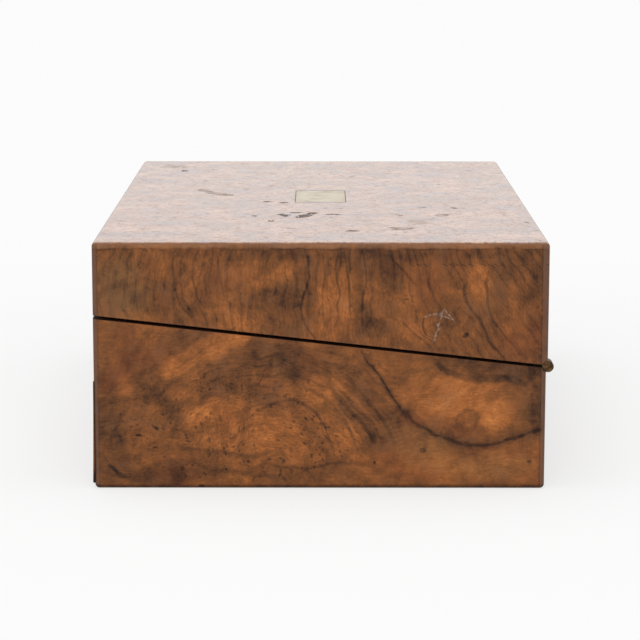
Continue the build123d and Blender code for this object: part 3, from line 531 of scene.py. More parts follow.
def worn_edges_and_shade(finish, colour):
    y, z = split(wander(finish.place, 3 * MM, 0.4 * MM))[1:]
    breakup = fade(noise(finish.place, 7 * MM, 3.0), 0.35, 0.65) * 0.4 + 0.6
    rear = fade(y, CASE_REAR - 3.6 * MM, CASE_REAR - 1.6 * MM)
    front = fade(y, LID_FRONT + 4.2 * MM, LID_FRONT + 3.2 * MM)
    joints = near(y, CASE_REAR - 2.8 * MM, 0.7 * MM) * 0.7 + near(y, LID_FRONT + 4 * MM, 0.6 * MM)
    # Painted shade: darker along the bottom, where the box meets the floor.
    foot = fade(z, 3.2 * MM, 1.2 * MM)
    colour = mix(strongest([rear, front]) * breakup * 0.85, colour, WALNUT_GREY)
    colour = mix(joints * breakup * 0.55, colour, WALNUT_VEIN)
    colour = mix(foot * breakup * 0.85, colour, WALNUT_VEIN)
    # Painted shade: the rims of the cut go black, for the shade in the gap between lid and base.
    return mix(painted_gap_shade(finish) * 0.95, colour, GAP_SHADE_BLACK)


def painted_gap_shade(finish):
    """Painted shade of the gap: the rims where lid and base meet are painted black, widest at the rear.
    """
    y, z = split(finish.place)[1:]
    back = y - CUT_HINGE[0]
    off = z - (back * CUT_RISE + CUT_HINGE[1])
    black = back * BLACK_GROWTH + BLACK_RIM
    return fade(abs(off) - black, 0.35 * MM, 0.05 * MM)


print("worn corners at", [round(1000 * v, 1) for v in (CASE_END, LID_FRONT, CASE_REAR)], "mm")

# %% Left end of the base
BURR_CENTRE = (-30, 14)
BUD_PLACE = (82.5, 39.7)
BUD_RADIUS = 5.5


def left_end_place(finish, reach=0.0, size=9.0):
    """Millimetres across, from the rear to the front, and up, both wavering by up to reach."""
    y, up = finish.in_mm("yz", reach, size)
    return y * -1, up


def base_left_finish():
    finish = Finish("walnut_base_left", IOR=1.45, Specular_IOR_Level=0.16)
    y, z = split(finish.place)[1:]
    flat = join(y, z)
    across, up = left_end_place(finish, 1.6)
    wide, high = left_end_place(finish, 5.0)
    lift = drawn(patch, wide, high, BASE_POOLS) + drawn(vein, across, up, BASE_VEINS)
    lift = lift + drawn(patch, across, up, BASE_SPECKS)
    lift = lift - near(away(across, up, BUD_PLACE), BUD_RADIUS, 2.2) * 0.16
    eyes = patch(wide, high, (-46, 34), (82, 40), -4, 0.6)
    flow = away(across, up, BURR_CENTRE, 0.8)
    ring_strength = fade(flow, 90, 60) * fade(up, 14, 30) * 0.14
    colour, height = burr_figure(flat, (5 * MM, 1.0 * MM, 1), 3.1, lift, eyes, flow, ring_strength)
    under_vein = patch(wide, high, (56, 24), (30, 14), -28, 0.9)
    along_foot = patch(wide, high, (96, 13), (34, 10), 0, 0.9)
    olive = strongest([under_vein, along_foot]) * fade(height, 0.2, 0.8)
    colour = worn_edges_and_shade(finish, mix(olive * 0.55, colour, WALNUT_OLIVE))
    return finish.complete(colour, french_polish(flat, 0.4), height, 0.06 * MM)


keep("base_left", base_left_finish())

# %% [markdown]
# ## The left end of the lid
# Straighter wood: fine upright lines, a few dark wavy ones, arcs near the rear and long slanting
# lines towards the front. An old crack runs level near the top, as a row of slanting nicks, and
# the polish below it is scratched. The same figure makes it, with fibres stood on end and growth
# lines that lean more and more towards the front.

# %% Pools, veins and specks of the lid's left end
# Rows as on the base, but a vein's points are given as (up, across), since these veins stand up.
LID_POOLS = [
    (0.22, (-24, 121), (20, 6), 28, 0.9),
    (0.20, (8, 104), (14, 32), 4, 0.9),
    (0.22, (88, 117), (9, 13), 0, 0.9),
    (0.16, (50, 90), (16, 7), -30, 0.9),
    (0.16, (-72, 117), (14, 9), 80, 0.9),
    (0.12, (-50, 96), (30, 9), 0, 0.9),
    (0.12, (108, 112), (5, 18), 0, 0.9),
    (-0.17, (-26, 107), (28, 12), 10, 0.95),
    (-0.12, (-104, 116), (20, 22), 0, 0.9),
    (-0.18, (40, 122), (8, 14), 20, 0.9),
    (-0.20, (122, 104), (9, 44), 0, 0.9),
    (-0.16, (30, 92), (16, 7), -10, 0.9),
    (-0.12, (0, 134), (130, 5), 0, 0.9),
]
LID_VEINS = [
    (-0.25, [(79, -1), (87, -4), (94, -9), (104, -11), (118, -7), (137, -7)], 1.1),
    (-0.22, [(97, 9.5), (103, 9), (111, 10.5), (121, 8.5), (137, 10)], 0.9),
    (-0.22, [(96, 17), (109, 16), (121, 15), (137, 12.5)], 0.9),
    (-0.14, [(92, 3), (108, 1), (122, 2), (137, 1)], 0.8),
    (-0.14, [(88, 24), (104, 23), (120, 25), (137, 22)], 0.8),
    (-0.18, [(97, -109), (118, -109)], 0.8),
    (-0.17, [(100, -75), (112, -80), (124, -82), (137, -81)], 1.2),
    (-0.13, [(97, -70), (110, -76), (122, -78), (134, -77)], 0.9),
    (-0.17, [(104, -66), (114, -70), (121, -71), (133, -69)], 1.1),
    (-0.16, [(108, -61), (116, -64), (126, -63)], 1.0),
    (-0.16, [(108, -53), (122, -56), (136, -58)], 1.2),
    (-0.28, [(75, 102), (85, 94), (97, 88), (105, 82), (111, 79.5), (121, 82)], 1.5),
    (-0.24, [(75, 113), (85, 105), (99, 94.5), (106, 93), (122, 92)], 1.3),
    (-0.22, [(115, 54), (124, 46), (133, 38)], 1.5),
    (-0.22, [(103, 68), (112, 61.5), (129, 60.3)], 1.5),
    (-0.20, [(81, 61), (98, 42)], 1.2),
    (-0.18, [(79, 68), (94, 50)], 1.1),
    (-0.35, [(86.5, 62.7), (92, 56.8), (99, 57.6)], 0.8, 2),
]
LID_SPECKS = [
    (-0.40, (81, 88), (2.4, 1.5), 30),
]
print("lid:", len(LID_POOLS), "pools,", len(LID_VEINS), "veins,", len(LID_SPECKS), "speck")

# %% Crack and scratches
CRACK_LEVEL = 126.5
NICK_PITCH = 3.6
# A scratch is its start, its end and half its width.
SCRATCHES = [
    ((58.0, 98.4), (61.5, 99.6), 0.7),
    ((61.5, 99.6), (66.4, 99.9), 0.85),
    ((66.0, 99.2), (68.8, 102.6), 0.5),
    ((68.8, 102.6), (73.8, 96.4), 0.55),
    ((66.6, 99.2), (72.4, 97.2), 0.45),
    ((67.8, 101.6), (66.8, 97.0), 0.7),
    ((67.2, 97.2), (65.2, 93.4), 0.6),
    ((65.3, 94.0), (65.6, 91.4), 1.0),
    ((65.6, 91.6), (63.4, 87.4), 0.55),
    ((64.2, 88.0), (62.9, 84.0), 0.8),
]


def crack_line(finish):
    """A row of short slanting nicks on a level line."""
    across, up = left_end_place(finish)
    level = up - noise(finish.place, 20 * MM, 1.0) * 2 - CRACK_LEVEL
    step = (across + level * 2.2 + noise(finish.place, 4 * MM) * 3) / NICK_PITCH
    comb = near(step.maths("FRACT"), 0.5, 0.22)
    present = fade(noise(finish.place, 6 * MM, 1.0), 0.36, 0.48)
    return comb * fade(abs(level), 0.95, 0.4) * present * fade(across, 46, 52)


def scratch_mark(finish):
    """Two crossing scratches, whitened where the polish has broken."""
    across, up = left_end_place(finish, 0.5, 2.0)
    total = strongest(stroke(across, up, *numbers) for numbers in SCRATCHES)
    return total * fade(noise(finish.place, 1.3 * MM, 2.0), 0.36, 0.62)


print("scratches:", len(SCRATCHES), "strokes; nicks", NICK_PITCH, "mm apart")

# %% Left end of the lid
TOP_EDGE = tone(148, 108, 80)
SMOKED = tone(124, 94, 62)
CRACK_DARK = tone(30, 20, 16)
BROKEN_POLISH = tone(140, 122, 110)


def lid_left_finish():
    finish = Finish("walnut_lid_left", IOR=1.45, Specular_IOR_Level=0.16)
    y, z = split(finish.place)[1:]
    flat = join(y, z)
    across, up = left_end_place(finish, 1.1)
    wide, high = left_end_place(finish, 4.0)
    lift = drawn(patch, wide, high, LID_POOLS) + drawn(vein, up, across, LID_VEINS)
    lift = lift + drawn(patch, across, up, LID_SPECKS)
    eyes = fade(noise(flat, 30 * MM), 0.6, 0.7)
    lean = fade(across, 30, 90) * 0.72
    arc = (up - 112) * (up - 112) * fade(across, -40, -80) * 0.014
    flow = across + (up - 105) * lean - arc
    colour, height = burr_figure(flat, (0.7 * MM, 14 * MM, 1), 7.7, lift, eyes, flow, 0.15)
    olive = patch(wide, high, (-112, 112), (20, 26), 0, 0.9)
    colour = mix(olive * fade(height, 0.1, 0.8) * 0.5, colour, SMOKED)
    band = fade(up, 135.6, 137.8) * (fade(noise(finish.place, 14 * MM, 3.0), 0.3, 0.7) * 0.3 + 0.2)
    colour = mix(band, colour, TOP_EDGE)
    seam = near(up, 136.2, 0.9) * fade(noise(finish.place, 12 * MM, 3.0), 0.34, 0.64) * 0.55
    colour = worn_edges_and_shade(finish, mix(seam, colour, WALNUT_VEIN))
    crack = crack_line(finish)
    colour = mix(crack * 0.85, colour, CRACK_DARK)
    bruise = patch(across, up, (66, 97), (8, 8), 0, 0.9)
    bruise = bruise * fade(noise(finish.place, 2.5 * MM, 3.0), 0.4, 0.6)
    colour = mix(bruise * 0.35, colour, WALNUT_VEIN)
    scratch = scratch_mark(finish)
    colour = mix(scratch * 0.85, colour, BROKEN_POLISH)
    height = height - crack - scratch * 0.6
    return finish.complete(colour, french_polish(flat, 0.4), height, 0.07 * MM)


keep("lid_left", lid_left_finish())

# %% [markdown]
# ## The top
# Years of light have bleached the top, and its polish throws the room back at a low angle. The
# same kinds of cloud are there in paler tones, mixed one over the other rather than through a
# ramp, because bleaching has pulled grey, lilac and pink apart. Ink spots and worn places lie
# round the name plate.

# %% Tones and spots of the bleached top
FADED_LIGHT = tone(196, 150, 120)
FADED_MID = tone(170, 126, 100)
FADED_GREY = tone(150, 120, 108)
FADED_DARK = tone(96, 66, 50)
FADED_LILAC = tone(142, 122, 122)
FLECK = tone(80, 62, 56)
JOINT_DARK = tone(34, 27, 22)
RIM_BROWN = tone(112, 76, 52)
INK_SPOT = tone(26, 24, 24)
BROWN_SPOT = tone(104, 74, 40)
# A stain is a strength and a patch's numbers, in millimetres to the right and back.
STAINS = [
    (1.0, (31, 75), (11, 5), 20),
    (1.0, (12, 64), (15, 6), 40),
    (0.6, (166, 102), (16, 12), 20, 0.9),
    (0.6, (-118, -58), (14, 9), 20, 0.9),
    (1.0, (-147, -46), (9, 8), 70),
    (1.0, (-88, -73), (3, 8), 70),
]
# An ink spot is a patch's numbers alone.
INK_PATCHES = [
    ((-93, 10), (12, 4.6), -20),
    ((-83, 6), (8, 4.0), -30),
    ((-90, 22), (9, 2.4), 10),
    ((-78, 14), (3, 5), 0),
    ((-86, -8), (3, 5), 0),
    ((-93, 40), (2.4, 2.2)),
    ((-115, 29), (3.2, 2.2)),
    ((-88, 22), (2.4, 6), -20),
    ((-27, 33), (2, 4)),
    ((-31, 23), (2.4, 5), 20),
    ((-89, -47), (4.5, 1.5), 30),
    ((-157, -18), (3, 5), 10),
    ((-120, -121), (3.4, 1.4)),
    ((-52, -62), (1.4, 4)),
    ((-57, -82), (4, 1.6), 30),
    ((140, 94), (6, 3)),
]
print("top:", len(STAINS), "stains,", len(INK_PATCHES), "ink spots")

# %% Marks of the top
PLATE_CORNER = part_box("name_plate")[1][:2]  # the plate lies in the middle of the top


def case_edge(finish):
    """The rounded rim of the top and its edge, seen from the sides."""
    x, y = split(wander(finish.place, 5 * MM, 0.35 * MM))[:2]
    ends = fade(abs(x), CASE_END - 1.6 * MM, CASE_END - 0.7 * MM)
    sides = fade(abs(y), -LID_FRONT - 1.6 * MM, -LID_FRONT - 0.7 * MM)
    return strongest([ends, sides])


def plate_line(right, back):
    """The thin dark joint round the name plate."""
    end = abs(right) - PLATE_CORNER[0] * 1000
    side = abs(back) - PLATE_CORNER[1] * 1000
    off = strongest([end * 0.4, side])
    return fade(abs(off), 0.75, 0.35) * 0.95


def top_stains(finish):
    right, back = finish.in_mm("xy", 5, 9)
    total = strongest(patch(right, back, *numbers) * strength for strength, *numbers in STAINS)
    return total * fade(noise(finish.place, 5 * MM, 4.0, 0.7), 0.38, 0.54)


def ink_spots(finish):
    right, back = finish.in_mm("xy", 2.4, 4)
    total = strongest(patch(right, back, *numbers) for numbers in INK_PATCHES)
    return total * fade(noise(finish.place, 2.5 * MM, 3.0, 0.7), 0.36, 0.52) * 0.9


print("name plate reaches", [round(1000 * v, 1) for v in PLATE_CORNER], "mm from the middle")

# %% Top of the lid
def top_finish():
    shine = {"Coat_Roughness": 0.2, "Coat_IOR": 1.6}
    finish = Finish("walnut_top_faded", IOR=1.5, Specular_IOR_Level=0.15, **shine)
    x, y = split(finish.place)[:2]
    flat = join(x, y)
    slow = wander(flat, 60 * MM, 22 * MM, 1.7)
    quick = wander(slow, 12 * MM, 3 * MM, 1.7)
    clouds = noise(quick, 34 * MM, 4.0, 0.6)
    smoke = noise(slow, 12 * MM, 4.0, 0.65)
    hair = noise(stretched(quick, (1.2 * MM, 9 * MM, 1)), 1.0, 3.0, 0.7)
    speck = noise(flat, 2.2 * MM, 3.0, 0.65)
    grain = noise(wander(flat, 4 * MM, 1.5 * MM), 5 * MM, 4.0, 0.72)
    colour = mix(fade(clouds, 0.36, 0.64), FADED_GREY, FADED_LIGHT)
    colour = mix(fade(smoke, 0.42, 0.62) * 0.8, colour, FADED_MID)
    colour = mix(fade(noise(slow, 20 * MM, 3.0), 0.5, 0.66) * 0.7, colour, FADED_LILAC)
    colour = mix(fade(hair, 0.48, 0.7) * 0.6, colour, FADED_GREY)
    colour = mix(fade(grain, 0.5, 0.7) * 0.7, colour, FADED_DARK)
    colour = mix(fade(speck, 0.5, 0.68) * 0.6, colour, FADED_DARK)
    right, back = finish.in_mm("xy")
    corner = patch(right, back, (-168, 100), (20, 26), 0, 0.9)
    flecks = fade(noise(quick, 6 * MM, 3.0, 0.7) + corner * 0.06, 0.6, 0.7)
    colour = mix(flecks * 0.7, colour, FLECK)
    eye = burr_eyes(quick, fade(clouds, 0.5, 0.6))[0]
    colour = mix(eye * 0.6, colour, FADED_DARK)
    stains = top_stains(finish)
    colour = mix(stains, colour, BROWN_SPOT)
    line = plate_line(right, back)
    colour = mix(line, colour, JOINT_DARK)
    edge = case_edge(finish)
    colour = mix(edge * 0.9, colour, RIM_BROWN)
    spots = ink_spots(finish)
    colour = mix(spots, colour, INK_SPOT)
    dry = fade(speck, 0.46, 0.7) * 0.26 + fade(grain, 0.48, 0.7) * 0.3 + flecks * 0.25
    dry = dry + fade(smoke, 0.44, 0.62) * 0.14 + fade(clouds, 0.6, 0.4) * 0.1
    polish = (1 - dry * 0.82) * (1 - edge) * (1 - spots) * (1 - stains * 0.7) * (1 - line)
    finish.take("Coat Weight", polish)
    rough = fade(clouds, 0.2, 0.8) * 0.12 + spots * 0.4 + 0.36
    return finish.complete(colour, rough, hair * 0.5 + speck * 0.4, 0.05 * MM)


keep("lid_top", top_finish())

# %% [markdown]
# ## The other faces
# The front, the rear, the right end and the drawer front are cut from the same leaf of veneer,
# so the general figure is enough, each from its own part of the leaf.

# %% General walnut for a face
FACES = [("lid_front", 0, 0.31), ("base_front", 0, 0.83), ("lid_rear", 0, 1.37), ("base_rear", 0, 1.91),
         ("lid_right", 1, 2.43), ("base_right", 1, 2.97)]


def face_walnut(face, axis, shift):
    """Walnut for a face that runs along axis 0 or 1, from a part of the leaf given by the shift."""
    finish = Finish(f"walnut_{face}", IOR=1.45, Specular_IOR_Level=0.35)
    axes = split(finish.place)
    flat = join(axes[axis] + shift, axes[2])
    colour, height = burr_figure(flat, (6 * MM, 1.2 * MM, 1), shift, 0.03, ring_strength=0.2)
    if axis == 1:
        colour = worn_edges_and_shade(finish, colour)
    else:
        x, _, z = split(wander(finish.place, 3 * MM, 0.5 * MM))
        rims = fade(abs(x), CASE_END - 4.5 * MM, CASE_END - 3 * MM)
        colour = mix(rims * 0.6, colour, WALNUT_GREY)
        # Painted shade: darker along the bottom, where the box meets the floor, and black rims at the
        # cut for the shade of the gap between lid and base.
        colour = mix(fade(z, 3.5 * MM, 1.5 * MM) * 0.7, colour, WALNUT_VEIN)
        colour = mix(painted_gap_shade(finish) * 0.9, colour, GAP_SHADE_BLACK)
    return finish.complete(colour, french_polish(flat, 0.38), height, 0.06 * MM)


for face, axis, shift in FACES:
    keep(face, face_walnut(face, axis, shift))

# %% [markdown]
# ## Mahogany and the drawer's wood
# The boards under the veneer and the fittings inside are plain, straight-grained mahogany. Grain
# is noise stretched along the board; pores are short dark dashes in the same direction. The
# stretch is along one axis, so a long board and an end board take two finishes of the same wood.

# %% Straight-grained wood
MAHOGANY = (tone(86, 44, 27), tone(134, 74, 43))
FITTING = (tone(60, 30, 20), tone(98, 52, 32))
LINING = (tone(122, 82, 50), tone(168, 122, 78))
# Painted shade for the rims of boards at the cut, where the gap between lid and base lies in shade.
GAP_SHADE_DARK = tone(32, 22, 17)


def straight_wood(name, along, tones, shift, rims=False):
    finish = Finish(name, IOR=1.45, Specular_IOR_Level=0.35)
    dark, light = tones
    grain = [5 * MM] * 3
    grain[along] = 130 * MM
    pores = [0.35 * MM] * 3
    pores[along] = 5 * MM
    loose = wander(finish.place, 50 * MM, 3 * MM, shift)
    bands = noise(stretched(loose, grain, (shift, shift, shift)), 1.0, 4.0, 0.6)
    dashes = fade(noise(stretched(loose, pores), 1.0, 2.0, 0.5), 0.56, 0.72)
    stain = noise(finish.place, 60 * MM, 3.0, 0.6)
    colour = mix(fade(bands, 0.3, 0.7), dark, light)
    colour = mix(dashes * 0.5, colour, darker(dark, 0.35))
    colour = mix(fade(stain, 0.5, 0.75) * 0.35, colour, darker(dark, 0.5))
    # Painted shade: boards that meet the cut get dark rims, for the shade of the gap between lid and
    # base.
    if rims:
        colour = mix(painted_gap_shade(finish) * 0.75, colour, GAP_SHADE_DARK)
    rough = fade(stain, 0.3, 0.7) * 0.15 + 0.5
    return finish.complete(colour, rough, bands * 0.4 - dashes, 0.08 * MM)


keep("mahogany_x", straight_wood("mahogany_long", 0, MAHOGANY, 0.2, True))
keep("mahogany_y", straight_wood("mahogany_cross", 1, MAHOGANY, 0.4, True))
keep("mahogany_dark", straight_wood("mahogany_fitting", 0, FITTING, 0.7))
keep("lining_x", straight_wood("drawer_lining", 0, LINING, 1.1))
keep("lining_y", straight_wood("drawer_lining_cross", 1, LINING, 1.5))

# %% [markdown]
# ## Leather
# The writing slope is covered in thin dark leather with a double gilt line near its border. The
# grain is a cell pattern a tenth of a millimetre deep, as bump, since nobody sees it from the
# side; the lines keep their distance from the border, so they are worked out from the leather's
# own box. Use has browned the middle.

# %% Leather of the writing slope
LEATHER_DARK = tone(44, 34, 30)
LEATHER_WORN = tone(84, 54, 38)
CREASE = tone(24, 18, 16)
GILT = tone(188, 144, 74)
GILT_INSET = 9.0


def leather_finish(name, node=None):
    finish = Finish(name, IOR=1.45, Specular_IOR_Level=0.4)
    cells = {"Vector": finish.place, "Scale": 1 / (1.3 * MM)}
    pebble = finish.place.node("ShaderNodeTexVoronoi", None, cells)
    crease = noise(wander(finish.place, 14 * MM, 5 * MM), 5 * MM, 4.0, 0.6)
    worn = noise(finish.place, 45 * MM, 4.0, 0.6)
    colour = mix(fade(worn, 0.42, 0.7), LEATHER_DARK, LEATHER_WORN)
    colour = mix(fade(crease, 0.55, 0.75) * 0.4, colour, CREASE)
    rough = fade(worn, 0.3, 0.7) * 0.2 + 0.45
    if node:
        line = gilt_lines(finish, *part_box(node))
        colour = mix(line, colour, GILT)
        finish.take("Metallic", line * 0.8)
        rough = rough - line * 0.15
    return finish.complete(colour, rough, pebble * 0.7 + crease * 0.4, 0.12 * MM)


def gilt_lines(finish, low, high):
    """A broad and a thin gold line, a set way in from the leather's border, rubbed in places."""
    x, y = split(finish.place)[:2]
    half_x = (high[0] - low[0]) / 2
    half_y = (high[1] - low[1]) / 2
    from_end = half_x - abs(x)
    from_side = half_y - abs(y - (low[1] + high[1]) / 2)
    off = from_end.maths("MINIMUM", from_side) * (1 / MM)
    broad = near(off, GILT_INSET, 0.75)
    thin = near(off, GILT_INSET + 3, 0.4)
    rubbed = fade(noise(finish.place, 9 * MM, 4.0, 0.7), 0.3, 0.5)
    return strongest([broad, thin]) * rubbed


keep("leather_base", leather_finish("leather_base_flap", "base_flap_leather"))
keep("leather_lid", leather_finish("leather_lid_flap", "lid_flap_leather"))
keep("leather_plain", leather_finish("leather_strips"))

# %% [markdown]
# ## Brass, steel, glass and ink
# Old brass is brown in its corners, with fine scratches and brighter spots where fingers touch.
# One function makes every metal from a bright and a dull tone. The wells are pressed glass, a
# little green, and hold the ink that dried in them.

# %% Brass and steel
def brass_finish(name, bright, dull, tarnish_size=7.0, rough_from=0.34):
    finish = Finish(name, Metallic=1.0)
    blotch = noise(finish.place, tarnish_size * MM, 4.0, 0.65)
    fine = noise(stretched(finish.place, (6 * MM, 0.25 * MM, 0.25 * MM)), 1.0, 2.0)
    colour = mix(fade(blotch, 0.35, 0.68), bright, dull)
    rough = fade(blotch, 0.3, 0.75) * 0.25 + rough_from
    return finish.complete(colour, rough, fine * 0.5 + blotch * 0.5, 0.03 * MM)


keep("brass", brass_finish("brass_dull", tone(196, 160, 92), tone(112, 84, 50)))
keep("brass_plate", brass_finish("brass_plate", tone(222, 211, 193), tone(203, 192, 173), 14.0, 0.42))
keep("brass_dark", brass_finish("brass_brown", tone(122, 92, 62), tone(70, 52, 38), 3.0, 0.42))
keep("screw", brass_finish("screw_brass", tone(158, 122, 70), tone(84, 60, 38), 3.0, 0.36))
keep("steel", brass_finish("screw_steel", tone(104, 92, 78), tone(52, 42, 34), 3.0, 0.45))

# %% Glass, ink and the sliver's walnut
WELL_GREEN = tone(214, 232, 222)
INK_BLUE = tone(18, 20, 34)
INK_PURPLE = tone(40, 30, 42)
SLIVER_BLACK = tone(16, 12, 10)


def glass_finish():
    finish = Finish("well_glass", IOR=1.5, Transmission_Weight=1.0)
    ripple = noise(finish.place, 9 * MM, 2.0)
    return finish.complete(WELL_GREEN, fade(ripple, 0.3, 0.8) * 0.08 + 0.03, ripple, 0.05 * MM)


def ink_finish():
    finish = Finish("dried_ink", IOR=1.5)
    flakes = finish.place.node("ShaderNodeTexVoronoi", None, {"Vector": finish.place, "Scale": 900.0})
    colour = mix(fade(noise(finish.place, 3 * MM, 3.0), 0.4, 0.7), INK_BLUE, INK_PURPLE)
    return finish.complete(colour, fade(flakes, 0.1, 0.6) * 0.4 + 0.3, flakes, 0.1 * MM)


def sliver_finish():
    """Walnut that is black towards its loose lower end."""
    finish = Finish("walnut_sliver", IOR=1.45, Specular_IOR_Level=0.2)
    x, _, z = split(finish.place)
    colour, height = burr_figure(join(x + 3.3, z), (1 * MM, 8 * MM, 1), 3.3, -0.12)
    colour = mix(fade(z, 12 * MM, 7 * MM) * 0.92, colour, SLIVER_BLACK)
    return finish.complete(colour, fade(height, 0.2, 0.8) * 0.2 + 0.45, height, 0.05 * MM)


keep("glass", glass_finish())
keep("ink", ink_finish())
keep("sliver", sliver_finish())

# %% [markdown]
# ## Which finish goes where
# Each solid takes one finish. Every veneer has the finish of its face, and the drawer's front
# carries on the right end of the base. Long boards have their grain lengthways, the end boards
# across. Solids that share a wood or a metal share its finish, so a change of tone is made once.

# %% Give the solids their finishes
VENEERED = ["base_left", "lid_left", "lid_top"] + [face for face, _, _ in FACES]
wearing = {face: [f"{face}_veneer"] for face in VENEERED}
wearing["base_right"].append("drawer_front_veneer")
wearing.update({
    "mahogany_x": ["base_bottom", "base_front_wall", "base_rear_wall", "lid_front_wall", "lid_rear_wall",
                   "lid_top_board", "dust_board", "base_flap_board", "lid_flap_board", "drawer_guides"],
    "mahogany_y": ["base_left_end", "base_right_end", "lid_left_end", "lid_right_end", "drawer_front",
                   "drawer_stop"],
    "mahogany_dark": ["pen_tray", "pen_section_divider", "base_flap_ledges", "lid_flap_ledges",
                      "ink_partitions"],
    "lining_x": ["drawer_front_side", "drawer_rear_side", "drawer_bottom"],
    "lining_y": ["drawer_back"],
    "leather_base": ["base_flap_leather"],
    "leather_lid": ["lid_flap_leather"],
    "leather_plain": ["base_fold_strip", "lid_fold_strip", "base_flap_tab", "lid_flap_tab"],
    "brass": ["lock_case", "lock_link_plate", "pull_plate", "pull_bail", "flap_catch", "lock_bolt",
              "left_inkwell_cap", "right_inkwell_cap", "keyhole_escutcheon"],
    "brass_plate": ["name_plate"],
    "brass_dark": ["left_hinge_base_leaf", "right_hinge_base_leaf", "left_hinge_lid_leaf",
                   "right_hinge_lid_leaf", "hinge_pins"],
    "glass": ["left_inkwell", "right_inkwell"],
})


def give(piece, material):
    piece.data.materials.clear()
    piece.data.materials.append(material)


for finish_name, wearers in wearing.items():
    for node_name in wearers:
        give(nodes[node_name], finishes[finish_name])
bare = set(nodes) - {n for wearers in wearing.values() for n in wearers}
print(len(finishes), "finishes; solids without one:", sorted(bare))

# %% [markdown]
# ## Modelling by hand
# The small brass pieces are made as they would be with the mouse: add a primitive, open it in edit
# mode, choose faces or edges, and extrude, inset, bevel or spin them. Two helpers keep that short:
# one names the primitive and opens it, the other chooses elements by a test on their place. That
# test stands for the click, so it still finds the right edge when a size changes.

# %% Open, choose, push
def fresh(name):
    """Names the primitive that was just added and opens it with nothing selected."""
    piece = bpy.context.object
    piece.name = name
    piece.data.name = name
    bpy.ops.object.transform_apply(location=True, rotation=True, scale=True)
    bpy.ops.object.mode_set(mode="EDIT")
    bpy.ops.mesh.select_all(action="DESELECT")
    return piece


def choose(piece, wanted, kind="faces"):
    """Selects only those faces, edges or verts of the open piece for which wanted is true."""
    bpy.ops.mesh.select_mode(type=kind[:-1].upper())
    bpy.ops.mesh.select_all(action="DESELECT")
    edit = bmesh.from_edit_mesh(piece.data)
    for element in getattr(edit, kind):
        element.select_set(wanted(element))
    edit.select_flush_mode()
    bmesh.update_edit_mesh(piece.data)


def push(x=0.0, y=0.0, z=0.0):
    """Extrudes what is selected and moves the new part, in millimetres."""
    bpy.ops.mesh.extrude_region_move(TRANSFORM_OT_translate={"value": (x * MM, y * MM, z * MM)})

print("pieces are shaped in millimetres, in edit mode")

# %% Close and fasten
SMOOTH_UP_TO = 35  # degrees between faces that look round


def smooth(degrees=SMOOTH_UP_TO):
    bpy.ops.object.mode_set(mode="OBJECT")
    bpy.ops.object.shade_smooth_by_angle(angle=math.radians(degrees))


def settle(piece, finish_name, body):
    """Gives a finished piece its material and fastens it to the body that it moves with."""
    give(piece, finishes[finish_name])
    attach(piece, body)
    print(piece.name, "rides on", body, "with", len(piece.data.polygons), "faces")


def copy_to(model, name, place, outward, turn, finish_name, body):
    """A copy of a model with its own mesh, its top at the place and facing outward."""
    mesh = model.data.copy()
    aim = Vector(outward).to_track_quat("Z", "Y").to_matrix().to_4x4()
    mesh.transform(Matrix.Translation(place) @ aim @ Matrix.Rotation(math.radians(turn), 4, "Z"))
    piece = bpy.data.objects.new(name, mesh)
    bpy.context.scene.collection.objects.link(piece)
    settle(piece, finish_name, body)


bpy.ops.object.select_all(action="DESELECT")
print("faces less than", SMOOTH_UP_TO, "degrees apart look round")

# %% [markdown]
# ## Screws
# Hand-filed wood screws hold the fittings: dark steel ones in the hinges, brass ones in the lock,
# the link plate, the pull and the turn button. One is modelled at the origin: a short cylinder,
# its rim bevelled, cut by two planes, and the strip between them sunk to make the slot. It is
# then copied to each hole, turned a little differently each time, as hand-driven screws are.

# %% One screw, and the sloping cut that most of them sit in
CUT_ANGLE = math.atan(CUT_RISE)
CUT_NORMAL = Vector((0, -math.sin(CUT_ANGLE), math.cos(CUT_ANGLE)))
UP_SLOPE = Vector((0, math.cos(CUT_ANGLE), math.sin(CUT_ANGLE)))
HALF_GAP = 0.8
RIM_BEVEL = 0.14  # bevel, half the slot and its depth, as shares of the head's radius
SLOT_HALF = 0.13
SLOT_DEPTH = 0.35 / 2.3


def on_cut(x, along, above):
    """A point given in millimetres along the box, up the slope from the hinge, and off the cut."""
    return Vector((x * MM, *CUT_HINGE)) + UP_SLOPE * along * MM + CUT_NORMAL * above * MM


def screw_model(radius, tall):
    bpy.ops.mesh.primitive_cylinder_add(vertices=32, radius=radius * MM, depth=tall * MM)
    screw = fresh("screw_model")
    top = tall / 2 * MM
    choose(screw, lambda edge: all(v.co.z > top * 0.9 for v in edge.verts), "edges")
    bpy.ops.mesh.bevel(offset=radius * RIM_BEVEL * MM, segments=2)
    slot = radius * SLOT_HALF * MM
    for side in (-slot, slot):
        bpy.ops.mesh.select_all(action="SELECT")
        bpy.ops.mesh.bisect(plane_co=(side, 0, 0), plane_no=(1, 0, 0))
    choose(screw, lambda face: face.normal.z > 0.3 and abs(face.calc_center_median().x) < slot)
    push(z=-radius * SLOT_DEPTH)
    smooth()
    screw.data.transform(Matrix.Translation((0, 0, -top)))
    return screw


print("the cut rises", round(math.degrees(CUT_ANGLE), 2), "degrees")

